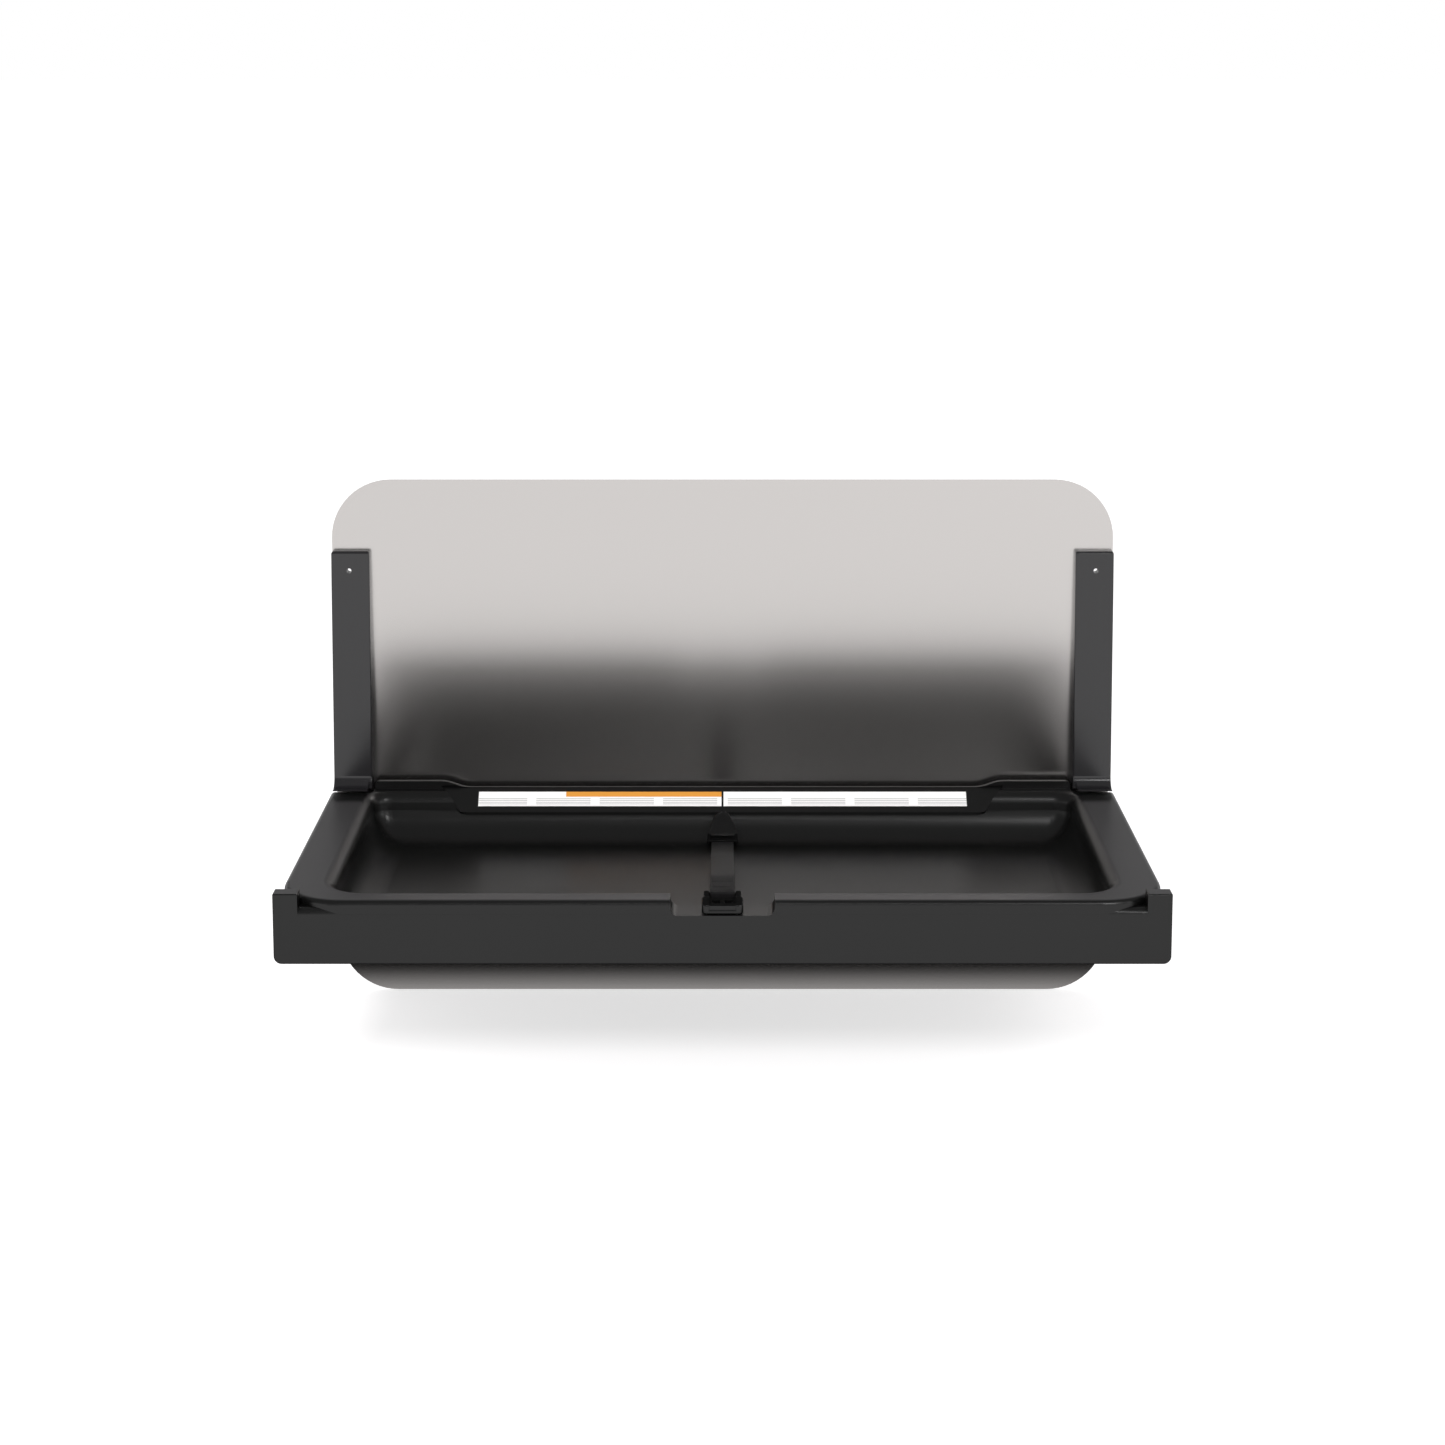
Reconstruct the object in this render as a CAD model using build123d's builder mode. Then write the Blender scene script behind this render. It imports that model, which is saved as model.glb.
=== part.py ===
"""Wall-mounted fold-down baby changing station, bed down.

Millimetres, +Z up. The wall's surface is the plane Y = 0 and the station stands out from it
towards -Y. The origin is the centre of the wall plate's back face. Distances named from_wall
are measured from the wall's surface, and rises and drops from the rim of the open bed.
"""

from build123d import *
from math import cos, hypot, radians, sin
import os

os.makedirs("parts", exist_ok=True)

# Wall plate
plate_width = 889.0
plate_height = 602.0
plate_thickness = 2.0
plate_corner_radius = 67.0
wall_hole_radius = 4.0
wall_hole_spacing = 406.4
wall_hole_row_gap = 110.0
wall_hole_row_height = 41.0

# Where the open bed lies, and its hinge axis
rim_drop = 357.0
hinge_below_rim = 16.0
hinge_from_wall = 58.0
folded_bed_gap = 5.0
bed_reach = rim_drop + hinge_below_rim + hinge_from_wall - folded_bed_gap
rim_z = plate_height / 2 - rim_drop
hinge_y = -hinge_from_wall
hinge_z = rim_z - hinge_below_rim

# Side arms
arm_width = 43.5
arm_rise = 276.0
arm_wall = 2.5
arm_floor_rise = 3.0
arm_top_depth = 10.0
arm_bend_depth = 12.5
arm_bend_drop = 37.0
arm_low_depth = 22.0
arm_flare_rise = 17.0
foot_depth = 36.0
foot_lip = 2.2
foot_inset = 4.0
arm_top_round = 3.0
arm_hole_radius = 2.75
arm_hole_drop = 22.0
arm_hole_outset = 1.5
arm_boss_radius = 5.5
arm_screw_radius = 2.0
arm_screw_head_radius = 3.9
arm_screw_length = 9.0
arm_screw_shares = (0.22, 0.5, 0.76)
arm_gap = 2.0
arm_edge_round = 1.5
rear_half_width = plate_width / 2 - arm_width - arm_gap

# Bed tray moulding
bed_overhang = 3.3
bed_half_width = plate_width / 2 + bed_overhang
bed_corner_radius = 67.0
bed_rear_gap = 11.0
bed_rear_corner = 3.0
tray_wall = 3.0
rim_edge_round = 5.5
skirt_depth = 14.0
side_rim_width = 37.8
front_rim_width = 21.0
basin_half_width = bed_half_width - side_rim_width
basin_rear_from_wall = 21.0
basin_front_from_wall = bed_reach - front_rim_width
basin_rear_radius = 32.0
basin_front_radius = 50.0
band_radius = 12.5
basin_depth = 52.0
basin_taper = 6.0
basin_floor_radius = 36.0
basin_brim = 1.0

# Ridge along the tray's rear edge, lower in the middle
ridge_thickness = 6.0
ridge_rise = 9.0
ridge_low_rise = 1.5
ridge_root = 3.0
ridge_end_length = 76.0
ridge_slope_length = 34.0
ridge_high_half_width = rear_half_width - ridge_end_length
ridge_low_half_width = ridge_high_half_width - ridge_slope_length
ridge_end_round = 5.0

# Slanted label facet in the middle of the rear lip
facet_angle = 40.0
facet_length = 34.0
facet_from_wall = 14.5
facet_rise = 1.0
facet_wall = 3.5
facet_end_gap = 88.0
facet_end_slant = 23.0
facet_top_half_width = basin_half_width - facet_end_gap
facet_low_half_width = facet_top_half_width - facet_end_slant
facet_corner_radius = 5.0
facet_cut_height = 30.0
facet_block_drop = 3.0
facet_block_back = 4.0
label_end_margin = 21.0
label_width = facet_low_half_width - label_end_margin
label_height = 19.6
label_thickness = 0.6
label_gap = 2.3
label_top_margin = 6.4

# Front apron with its ears, part of the tray moulding
apron_overhang = 2.7
apron_half_width = bed_half_width + apron_overhang
apron_depth = 66.0
apron_corner_radius = 8.0
apron_edge_round = 1.5
apron_top_round = 7.0
apron_return = 18.0
ledge_drop = 8.3
ear_rise = 7.0
ear_width = 25.0
ear_round = 1.5
notch_half_width = 52.5
notch_depth = 15.5
notch_corner_radius = 8.0
notch_slot_half_width = 14.0
notch_slot_inset = 6.4
notch_slot_from_wall = bed_reach - notch_slot_inset
notch_slot_length = 3.4

# Bosses of the tray and the screws that hold the shell
boss_radius = 5.0
boss_inset = 15.8
boss_from_centre = bed_half_width - boss_inset
boss_pilot_radius = 1.6
boss_shares = (0.33, 0.59, 0.855)
shell_screw_head_radius = 3.6
shell_screw_head_height = 2.0
shell_screw_length = 18.0

# Underside shell
lap_clearance = 0.3
shell_wall = 3.0
shell_edge_round = 6.0
shell_rear_gap = 7.0
shell_rear_end = rear_half_width - shell_rear_gap
shell_panel_margin = 70.0
shell_panel_depth = 1.0
shell_panel_radius = 40.0
facet_relief_drop = 7.0
webbing_relief_half_width = 17.0
webbing_relief_drop = 34.0
bracket_slot_clearance = 4.0
bracket_slot_end = 78.0
rib_length = 12.0
rib_width = 6.0
rib_shares = (0.28, 0.56, 0.82)

# Steel rails and cross beams of the bed
rail_basin_gap = 0.5
rail_inner_face = basin_half_width + rail_basin_gap
rail_thickness = 3.0
rail_rear_reach = 20.0
rail_hinge_depth = 29.0
rail_depth = 44.0
rail_step_from_wall = 92.0
rail_front_inset = 18.0
rail_front_from_wall = bed_reach - rail_front_inset
rail_flange_width = 12.5
rail_flange_front_inset = 48.0
rail_flange_front_from_wall = bed_reach - rail_flange_front_inset
rail_bridge_reach = 28.0
rail_tab_top = 33.0
rail_tab_bottom = 55.5
rail_tab_from_wall = 18.0
rail_slope_run = 12.0
beam_wall = 2.0
beam_plug = 14.0
rear_beam_size = 18.0
rear_beam_from_wall = 18.0
rear_beam_drop = 37.0
front_beam_depth = 12.0
front_beam_height = 24.0
front_beam_inset = 29.5
front_beam_from_wall = bed_reach - front_beam_inset
front_beam_drop = 24.0
beam_bolt_radius = 3.0
beam_bolt_head_radius = 5.0
beam_bolt_head_height = 2.0
beam_bolt_length = 10.0

# Hinge: bracket on the plate, bush, pin and clip
bush_flange_gap = 0.5
bush_flange_thickness = 2.0
web_from_centre = rail_inner_face + rail_thickness + bush_flange_gap + bush_flange_thickness
web_thickness = 5.0
bracket_slot_inner = web_from_centre - bracket_slot_clearance
bracket_slot_outer = web_from_centre + web_thickness + bracket_slot_clearance
eye_radius = 11.0
neck_rear = 4.5
neck_front = 15.0
neck_corner_radius = 3.0
web_top_drop = 38.0
web_front_drop = 58.0
web_bottom_drop = 110.0
web_foot_height = 8.0
bracket_flange_thickness = 5.0
bracket_flange_inward = 6.0
bracket_flange_outward = 24.0
bracket_flange_inner = web_from_centre - bracket_flange_inward
bracket_flange_outer = web_from_centre + bracket_flange_outward
stud_radius = 4.0
stud_length = 16.0
stud_shares = (0.16, 0.5, 0.84)
nut_across = 13.0
nut_height = 6.0
fit_clearance = 0.05
pin_radius = 5.0
pin_head_radius = 8.0
pin_head_height = 2.8
pin_end_chamfer = 0.8
bush_radius = 7.0
bush_flange_radius = 9.0
clip_thickness = 1.1
clip_groove_depth = 1.0
clip_radius = 7.5
clip_mouth = 6.0
clip_clearance = 0.1
pin_end_reach = 1.6

# Rotary damper on the pin
damper_radius = 11.0
damper_wall = 1.5
damper_base = 2.0
damper_length = 11.5
damper_leg_gap = 1.5
outer_leg_from_centre = web_from_centre + web_thickness + damper_length + damper_leg_gap
damper_lug_radius = 3.4
damper_lug_drop = 19.0
damper_lug_places = (-10.0, -1.0)
damper_screw_radius = 1.4
damper_screw_head_radius = 2.6
damper_screw_head_height = 1.8
rotor_hub_radius = 7.0
rotor_clearance = 0.1
vane_width = 2.6
vane_angles = (135.0, 315.0)
stator_angles = (0.0, 180.0)

# Stop pins on the rails, which meet the bracket's neck when the bed is up
stop_radius = 2.5
stop_orbit = 17.0
stop_angle = 25.0
stop_reach = 9.0

# Rubber buffers between the shell and the plate
bumper_radius = 10.0
bumper_drop = 46.0
bumper_clearance = 0.3
bumper_round = 2.0
bumper_stem_radius = 3.5
bumper_stem_length = 3.0
bumper_shares = (-0.83, -0.3, 0.3, 0.83)
bumper_places = [rear_half_width * share for share in bumper_shares]

# Strap, its hood on the rear wall and the hood's screws
webbing_width = 25.0
webbing_thickness = 1.5
hood_half_width = 16.5
hood_top_drop = 21.5
hood_low_drop = 48.5
hood_back_from_wall = 35.0
hood_nose_from_wall = 71.0
hood_belly_from_wall = 61.0
hood_belly_drop = 29.5
hood_mouth_height = 5.0
hood_mouth_back_from_wall = 54.0
hood_mouth_side = 1.2
guide_screw_radius = 1.8
guide_screw_head_radius = 3.2
guide_screw_head_height = 1.6
guide_screw_drop = 27.5
guide_screw_half_gap = 5.0
guide_screw_tip_from_wall = 49.0
guide_screw_seat_from_wall = 33.4
strap_start_from_wall = 56.0
strap_start_drop = 46.0
strap_exit_drop = 46.8
strap_sag = 1.0
strap_tail_length = 30.0
strap_bend_length = 8.0
strap_tail_gap = 0.1
soft_clearance = 0.3

# Side-release buckle in the grip notch
buckle_width = 40.0
buckle_height = 11.0
buckle_tilt = 4.0
buckle_wall = 1.8
buckle_mouth_inset = 25.0
buckle_mouth_from_wall = bed_reach - buckle_mouth_inset
housing_length = 24.0
housing_round = 2.5
buckle_seat_gap = 0.3
socket_length = 15.5
window_length = 8.0
window_back = 4.0
window_height = 5.0
housing_pocket_start = 17.2
housing_pocket_end = 22.8
housing_pocket_height = 2.8
housing_bar_radius = 1.0
slot_half_width = 13.2
tongue_frame_length = 16.0
tongue_frame_height = 6.0
tongue_frame_half_width = 17.5
tongue_bar = 3.2
tongue_slot_length = 5.0
tongue_mouth_gap = 0.3
prong_length = 14.5
prong_width = 3.4
prong_height = 4.4
prong_from_centre = 12.4
barb_reach = 3.4
barb_length = 6.6
guide_bar_width = 5.0
guide_bar_length = 12.0
anchor_strap_foot_drop = 45.0
anchor_strap_turn_drop = 28.0
anchor_strap_bend_radius = 4.0
anchor_plate_width = 36.0
anchor_plate_height = 12.0
anchor_plate_thickness = 1.6
anchor_screw_radius = 2.0
anchor_screw_head_radius = 3.4
anchor_screw_head_height = 1.8
anchor_screw_length = 8.0
anchor_screw_half_gap = 14.8

cut_overrun = 5.0

# Places that several pieces share
guide_screw_places = [(side * guide_screw_half_gap, rim_z - guide_screw_drop) for side in (-1, 1)]
rim_start = plate_thickness + arm_low_depth + arm_gap
shell_floor_z = rim_z - apron_depth + shell_wall
facet_run = facet_length * cos(radians(facet_angle))
facet_fall = facet_length * sin(radians(facet_angle))
facet_top = (-facet_from_wall, rim_z + facet_rise)
facet_low = (facet_top[0] - facet_run, facet_top[1] - facet_fall)
facet_plane = Plane(
    origin=(0, *facet_top),
    x_dir=(1, 0, 0),
    z_dir=(0, -sin(radians(facet_angle)), cos(radians(facet_angle))),
)


def bed_outline(height, inset=0):
    """The bed's plan at a height, drawn in by an inset."""
    with BuildSketch(Plane.XY.offset(height)) as plan:
        with BuildLine():
            Polyline(
                (-rear_half_width, -bed_rear_gap),
                (rear_half_width, -bed_rear_gap),
                (rear_half_width, -rim_start),
                (bed_half_width, -rim_start),
                (bed_half_width, -bed_reach),
                (-bed_half_width, -bed_reach),
                (-bed_half_width, -rim_start),
                (-rear_half_width, -rim_start),
                close=True,
            )
        make_face()
        corners = plan.vertices().sort_by(Axis.Y)
        fillet(corners[:2], bed_corner_radius)
        outer = [v for v in plan.vertices() if abs(v.X) > rear_half_width + arm_gap]
        outer_rear = [v for v in outer if v.Y > -rim_start - arm_gap]
        fillet(outer_rear, bed_rear_corner)
        if inset:
            offset(amount=-inset)
    return plan.sketch


def basin_outline(height, inset):
    """The basin's plan at a height, drawn in from the rim's inner edge by an inset."""
    with BuildSketch(Plane.XY.offset(height)) as plan:
        with BuildLine():
            Polyline(
                (-basin_half_width, -basin_rear_from_wall),
                (basin_half_width, -basin_rear_from_wall),
                (basin_half_width, -basin_front_from_wall),
                (-basin_half_width, -basin_front_from_wall),
                close=True,
            )
        make_face()
        corners = plan.vertices().sort_by(Axis.Y)
        fillet(corners[:2], basin_front_radius)
        fillet(plan.vertices().sort_by(Axis.Y)[-2:], basin_rear_radius)
        offset(amount=-inset)
    return plan.sketch


def inside_band(edge):
    """Whether an edge lies where the rim meets the basin's walls."""
    side_limit = basin_half_width - band_radius / 2
    front_limit = band_radius / 2 - basin_front_from_wall
    rear_limit = -band_radius / 2 - basin_rear_from_wall
    return all(abs(v.X) < side_limit and front_limit < v.Y < rear_limit for v in edge.vertices())


# Wall plate
arm_screw_heights = [rim_z + arm_rise * share for share in arm_screw_shares]
arm_centre_x = plate_width / 2 - arm_width / 2
arm_hole_x = arm_centre_x + arm_hole_outset
arm_hole_z = rim_z + arm_rise - arm_hole_drop
wall_hole_z = -plate_height / 2 + wall_hole_row_height + wall_hole_row_gap / 2

with BuildPart() as wall_plate:
    with BuildSketch(Plane.XZ):
        RectangleRounded(plate_width, plate_height, plate_corner_radius)
        with Locations((0, wall_hole_z)):
            with GridLocations(wall_hole_spacing, wall_hole_row_gap, 2, 2):
                Circle(wall_hole_radius, mode=Mode.SUBTRACT)
        with Locations((-arm_hole_x, arm_hole_z), (arm_hole_x, arm_hole_z)):
            Circle(arm_hole_radius, mode=Mode.SUBTRACT)
    extrude(amount=plate_thickness)
    for height in arm_screw_heights:
        for side in (-1, 1):
            with Locations(Plane((side * arm_centre_x, 0, height), z_dir=(0, 1, 0))):
                CounterSinkHole(
                    arm_screw_radius + fit_clearance,
                    arm_screw_head_radius + fit_clearance,
                    depth=plate_thickness,
                )
wall_plate.part.label = "wall_plate"
export_step(wall_plate.part, "parts/wall_plate.step")

# Side arm: a hollow cover, open at the back, with a kicked-out foot
arm_face = -plate_thickness
arm_inner_x = plate_width / 2 - arm_width

with BuildPart() as arm_right:
    with BuildSketch(Plane.YZ.offset(arm_inner_x)) as arm_profile:
        with BuildLine():
            Polyline(
                (arm_face, rim_z + arm_floor_rise),
                (arm_face, rim_z + arm_rise),
                (arm_face - arm_top_depth, rim_z + arm_rise),
                (arm_face - arm_bend_depth, rim_z + arm_rise - arm_bend_drop),
                (arm_face - arm_low_depth, rim_z + arm_flare_rise),
            )
            flare = TangentArc(
                (arm_face - arm_low_depth, rim_z + arm_flare_rise),
                (arm_face - foot_depth, rim_z + arm_floor_rise + foot_lip),
                tangent=(arm_bend_depth - arm_low_depth, arm_bend_drop + arm_flare_rise - arm_rise),
            )
            Polyline(
                flare @ 1,
                (arm_face - foot_depth, rim_z + arm_floor_rise),
                (arm_face, rim_z + arm_floor_rise),
            )
        make_face()
    extrude(amount=arm_width)
    front_edges = [
        e
        for e in arm_right.edges()
        if all(v.Y < arm_face - arm_top_depth + arm_gap / 2 for v in e.vertices())
        and abs(e.vertices()[0].Z - e.vertices()[-1].Z) > arm_wall
    ]
    fillet(front_edges, arm_edge_round)
    with BuildSketch(Plane.YZ.offset(arm_inner_x + arm_wall)) as arm_hollow:
        with BuildLine():
            Polyline(
                (arm_face, rim_z + arm_floor_rise + arm_wall),
                (arm_face, rim_z + arm_rise - arm_wall),
                (arm_face - arm_top_depth + arm_wall, rim_z + arm_rise - arm_wall),
                (arm_face - arm_bend_depth + arm_wall, rim_z + arm_rise - arm_bend_drop),
                (arm_face - arm_low_depth + arm_wall, rim_z + arm_flare_rise),
                (arm_face - arm_low_depth + arm_wall, rim_z + arm_floor_rise + arm_wall),
                close=True,
            )
        make_face()
    extrude(amount=arm_width - 2 * arm_wall, mode=Mode.SUBTRACT)
    top_edges = arm_right.edges().filter_by(Axis.X).group_by(Axis.Z)[-1].sort_by(Axis.Y)[0]
    fillet(top_edges, arm_top_round)
    with BuildSketch(Plane.XZ.offset(plate_thickness)):
        with Locations(*[(arm_centre_x, height) for height in arm_screw_heights], (arm_hole_x, arm_hole_z)):
            Circle(arm_boss_radius)
    extrude(until=Until.NEXT, mode=Mode.ADD)
    with BuildSketch(Plane.XZ.offset(plate_thickness)):
        with Locations(*[(arm_centre_x, height) for height in arm_screw_heights]):
            Circle(arm_screw_radius + fit_clearance)
    extrude(amount=arm_screw_length - plate_thickness + fit_clearance, mode=Mode.SUBTRACT)
    with BuildSketch(Plane.XZ.offset(plate_thickness)):
        with Locations((arm_hole_x, arm_hole_z)):
            Circle(arm_hole_radius)
    extrude(amount=foot_depth, mode=Mode.SUBTRACT)
    with BuildSketch(Plane.XY.offset(rim_z)):
        with Locations((arm_inner_x, arm_face - arm_low_depth - arm_gap)):
            Rectangle(foot_inset, foot_depth, align=(Align.MIN, Align.MAX))
    extrude(amount=arm_flare_rise, mode=Mode.SUBTRACT)
arm_right.part.label = "arm_right"
export_step(arm_right.part, "parts/arm_right.step")

with BuildPart() as arm_left:
    mirror(arm_right.part, about=Plane.YZ)
arm_left.part.label = "arm_left"
export_step(arm_left.part, "parts/arm_left.step")

with BuildPart() as arm_screws:
    for height in arm_screw_heights:
        for side in (-1, 1):
            with Locations(Plane((side * arm_centre_x, 0, height), z_dir=(0, -1, 0))):
                Cylinder(
                    arm_screw_radius, arm_screw_length, align=(Align.CENTER, Align.CENTER, Align.MIN)
                )
                Cone(
                    arm_screw_head_radius,
                    arm_screw_radius,
                    arm_screw_head_radius - arm_screw_radius,
                    align=(Align.CENTER, Align.CENTER, Align.MIN),
                )
arm_screws.part.label = "arm_screws"
export_step(arm_screws.part, "parts/arm_screws.step")

# Basin, as the solid that it hollows out and the solid that its walls fill. Each has a brim on
# top, so that the rim rounds into the walls.
with BuildPart() as basin_void:
    extrude(basin_outline(rim_z, -basin_brim), amount=cut_overrun)
    extrude(basin_outline(rim_z, band_radius), amount=-basin_depth, taper=basin_taper)
    fillet(basin_void.faces().sort_by(Axis.Z)[0].edges(), basin_floor_radius)
    brim_edges = basin_void.edges().filter_by_position(
        Axis.Z, rim_z - fit_clearance, rim_z + fit_clearance
    )
    fillet(brim_edges.filter_by(inside_band), band_radius)

with BuildPart() as basin_block:
    extrude(basin_outline(rim_z - tray_wall, -basin_brim), amount=tray_wall)
    extrude(
        basin_outline(rim_z - tray_wall, band_radius - tray_wall),
        amount=-basin_depth,
        taper=basin_taper,
    )
    fillet(basin_block.faces().sort_by(Axis.Z)[0].edges(), basin_floor_radius + tray_wall)
    brim_edges = basin_block.edges().filter_by_position(
        Axis.Z, rim_z - tray_wall - fit_clearance, rim_z - tray_wall + fit_clearance
    )
    fillet(brim_edges.filter_by(inside_band), band_radius - tray_wall)

# Front apron with its ears, and the hollow behind it
ear_centre_x = apron_half_width - ear_width / 2
with BuildPart() as apron_block:
    with BuildSketch(Plane.XZ.offset(bed_reach - apron_return)) as apron_front:
        with Locations((0, rim_z - (apron_depth + ledge_drop) / 2)):
            Rectangle(2 * apron_half_width, apron_depth - ledge_drop)
        fillet(apron_front.vertices().sort_by(Axis.Y)[:2], apron_corner_radius)
    extrude(amount=apron_return)
    top_edges = apron_block.edges().filter_by(Axis.X).group_by(Axis.Z)[-1]
    fillet(top_edges.sort_by(Axis.Y)[0], apron_top_round)
    with BuildSketch(Plane.XY.offset(rim_z - ledge_drop - 2 * apron_top_round)):
        with Locations((-ear_centre_x, -bed_reach), (ear_centre_x, -bed_reach)):
            Rectangle(ear_width, apron_return, align=(Align.CENTER, Align.MIN))
    extrude(amount=ledge_drop + 2 * apron_top_round + ear_rise)
    ear_tops = apron_block.faces().filter_by(Axis.Z).group_by(Axis.Z)[-1]
    corner_top = rim_z - apron_depth + apron_corner_radius
    ear_middle = ear_centre_x + apron_edge_round
    front_edges = [e for e in apron_block.edges() if all(abs(v.Y + bed_reach) < fit_clearance for v in e.vertices())]
    front_edges = [e for e in front_edges if e.center().Z < corner_top or abs(e.center().X) > ear_middle]
    fillet(ear_tops.edges() + front_edges, apron_edge_round)

with BuildPart() as apron_hollow:
    with BuildSketch(Plane.XY.offset(rim_z - ledge_drop - tray_wall)):
        with Locations((0, tray_wall - bed_reach)):
            Rectangle(
                2 * (apron_half_width - tray_wall),
                apron_return,
                align=(Align.CENTER, Align.MIN),
            )
    extrude(amount=-apron_depth)
    top_edges = apron_hollow.edges().filter_by(Axis.X).group_by(Axis.Z)[-1]
    fillet(top_edges.sort_by(Axis.Y)[0], apron_top_round - tray_wall)

with BuildPart() as bed_tray:
    # Rim with its skirt, rounded along the sides and the front
    extrude(bed_outline(rim_z), amount=-skirt_depth)
    outer_edges = bed_tray.faces().sort_by(Axis.Z)[-1].edges()
    fillet([e for e in outer_edges if e.center().Y < -rim_start - bed_rear_corner], rim_edge_round)

    # Front apron with its ears, hollow from below
    add(apron_block.part)
    with BuildSketch(Plane.XY.offset(rim_z - ledge_drop - tray_wall - cut_overrun)):
        with Locations((-ear_centre_x, tray_wall - bed_reach), (ear_centre_x, tray_wall - bed_reach)):
            Rectangle(
                ear_width - 2 * tray_wall,
                apron_return - 2 * tray_wall,
                align=(Align.CENTER, Align.MIN),
            )
    extrude(amount=ledge_drop + ear_rise + cut_overrun, mode=Mode.SUBTRACT)
    add(apron_hollow.part, mode=Mode.SUBTRACT)

    # Hollow under the rim, the grip notch's trough, and the basin
    extrude(bed_outline(rim_z - tray_wall, tray_wall), amount=-apron_depth, mode=Mode.SUBTRACT)
    add(basin_block.part)
    with BuildSketch(Plane.XY.offset(rim_z - rim_edge_round)):
        with Locations((0, tray_wall / 2 - bed_reach)):
            Rectangle(
                2 * (notch_half_width + tray_wall),
                bed_reach - basin_front_from_wall + band_radius,
                align=(Align.CENTER, Align.MIN),
            )
    extrude(amount=rim_edge_round - notch_depth - tray_wall)
    add(basin_void.part, mode=Mode.SUBTRACT)

    # Grip notch, and the slot in its floor
    with BuildSketch(Plane.XZ.offset(basin_front_from_wall - 2 * band_radius)) as notch_front:
        with Locations((0, rim_z - notch_depth)):
            Rectangle(
                2 * notch_half_width,
                notch_depth + ear_rise + cut_overrun,
                align=(Align.CENTER, Align.MIN),
            )
        fillet(notch_front.vertices().sort_by(Axis.Y)[:2], notch_corner_radius)
    extrude(amount=bed_reach, mode=Mode.SUBTRACT)
    with BuildSketch(Plane.XY.offset(rim_z - notch_depth)):
        with Locations((0, -notch_slot_from_wall)):
            Rectangle(2 * notch_slot_half_width, notch_slot_length)
    extrude(amount=-tray_wall - cut_overrun, mode=Mode.SUBTRACT)

    # Ridge along the rear edge
    with BuildSketch(Plane.XZ.offset(bed_rear_gap)) as ridge_front:
        with BuildLine():
            Polyline(
                (-ridge_low_half_width, rim_z + ridge_low_rise),
                (ridge_low_half_width, rim_z + ridge_low_rise),
            )
            Spline(
                (ridge_low_half_width, rim_z + ridge_low_rise),
                (ridge_high_half_width, rim_z + ridge_rise),
                tangents=((1, 0), (1, 0)),
            )
            Polyline(
                (ridge_high_half_width, rim_z + ridge_rise),
                (rear_half_width, rim_z + ridge_rise),
                (rear_half_width, rim_z - ridge_root),
                (-rear_half_width, rim_z - ridge_root),
                (-rear_half_width, rim_z + ridge_rise),
                (-ridge_high_half_width, rim_z + ridge_rise),
            )
            Spline(
                (-ridge_high_half_width, rim_z + ridge_rise),
                (-ridge_low_half_width, rim_z + ridge_low_rise),
                tangents=((1, 0), (1, 0)),
            )
        make_face()
        ridge_ends = ridge_front.vertices().group_by(Axis.X)
        fillet([ridge_ends[0].sort_by(Axis.Y)[-1], ridge_ends[-1].sort_by(Axis.Y)[-1]], ridge_end_round)
    extrude(amount=ridge_thickness)

    # Label facet: a slab that reaches under the rear lip, a block under its front edge, and the cut above it
    slab_turn = basin_rear_from_wall + band_radius - facet_from_wall
    slab_turn = slab_turn / cos(radians(facet_angle)) - tray_wall / 2
    slab_half_width = facet_top_half_width - facet_end_slant * slab_turn / facet_length
    with BuildSketch(facet_plane) as facet_slab:
        with BuildLine():
            Polyline(
                (-facet_low_half_width, -facet_length),
                (facet_low_half_width, -facet_length),
                (slab_half_width, -slab_turn),
                (slab_half_width + tray_wall, -slab_turn),
                (facet_top_half_width + tray_wall, 0),
                (-facet_top_half_width - tray_wall, 0),
                (-slab_half_width - tray_wall, -slab_turn),
                (-slab_half_width, -slab_turn),
                close=True,
            )
        make_face()
        fillet(facet_slab.vertices().sort_by(Axis.Y)[:2], facet_corner_radius)
    extrude(amount=-facet_wall)
    with BuildSketch(Plane.YZ.offset(facet_corner_radius - facet_low_half_width)):
        with BuildLine():
            Polyline(
                facet_low,
                (facet_low[0], facet_low[1] - facet_block_drop),
                (facet_low[0] + facet_block_back, facet_low[1] - facet_block_drop),
                (facet_top[0] - facet_run / 2, facet_top[1] - facet_fall / 2 - facet_wall),
                (facet_top[0] - facet_run / 2, facet_top[1] - facet_fall / 2),
                close=True,
            )
        make_face()
    extrude(amount=2 * (facet_low_half_width - facet_corner_radius))
    with BuildSketch(facet_plane) as facet_cut:
        with BuildLine():
            Polyline(
                (-facet_top_half_width, 0),
                (facet_top_half_width, 0),
                (facet_low_half_width, -facet_length),
                (-facet_low_half_width, -facet_length),
                close=True,
            )
        make_face()
        fillet(facet_cut.vertices().sort_by(Axis.Y)[:2], facet_corner_radius)
    extrude(amount=facet_cut_height, mode=Mode.SUBTRACT)

    # Bosses for the shell's screws
    boss_places = [(side * boss_from_centre, -bed_reach * share) for side in (-1, 1) for share in boss_shares]
    with BuildSketch(Plane.XY.offset(rim_z - tray_wall)):
        with Locations(*boss_places):
            Circle(boss_radius)
            Circle(boss_pilot_radius, mode=Mode.SUBTRACT)
    extrude(amount=shell_floor_z + lap_clearance - rim_z + tray_wall)

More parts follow.
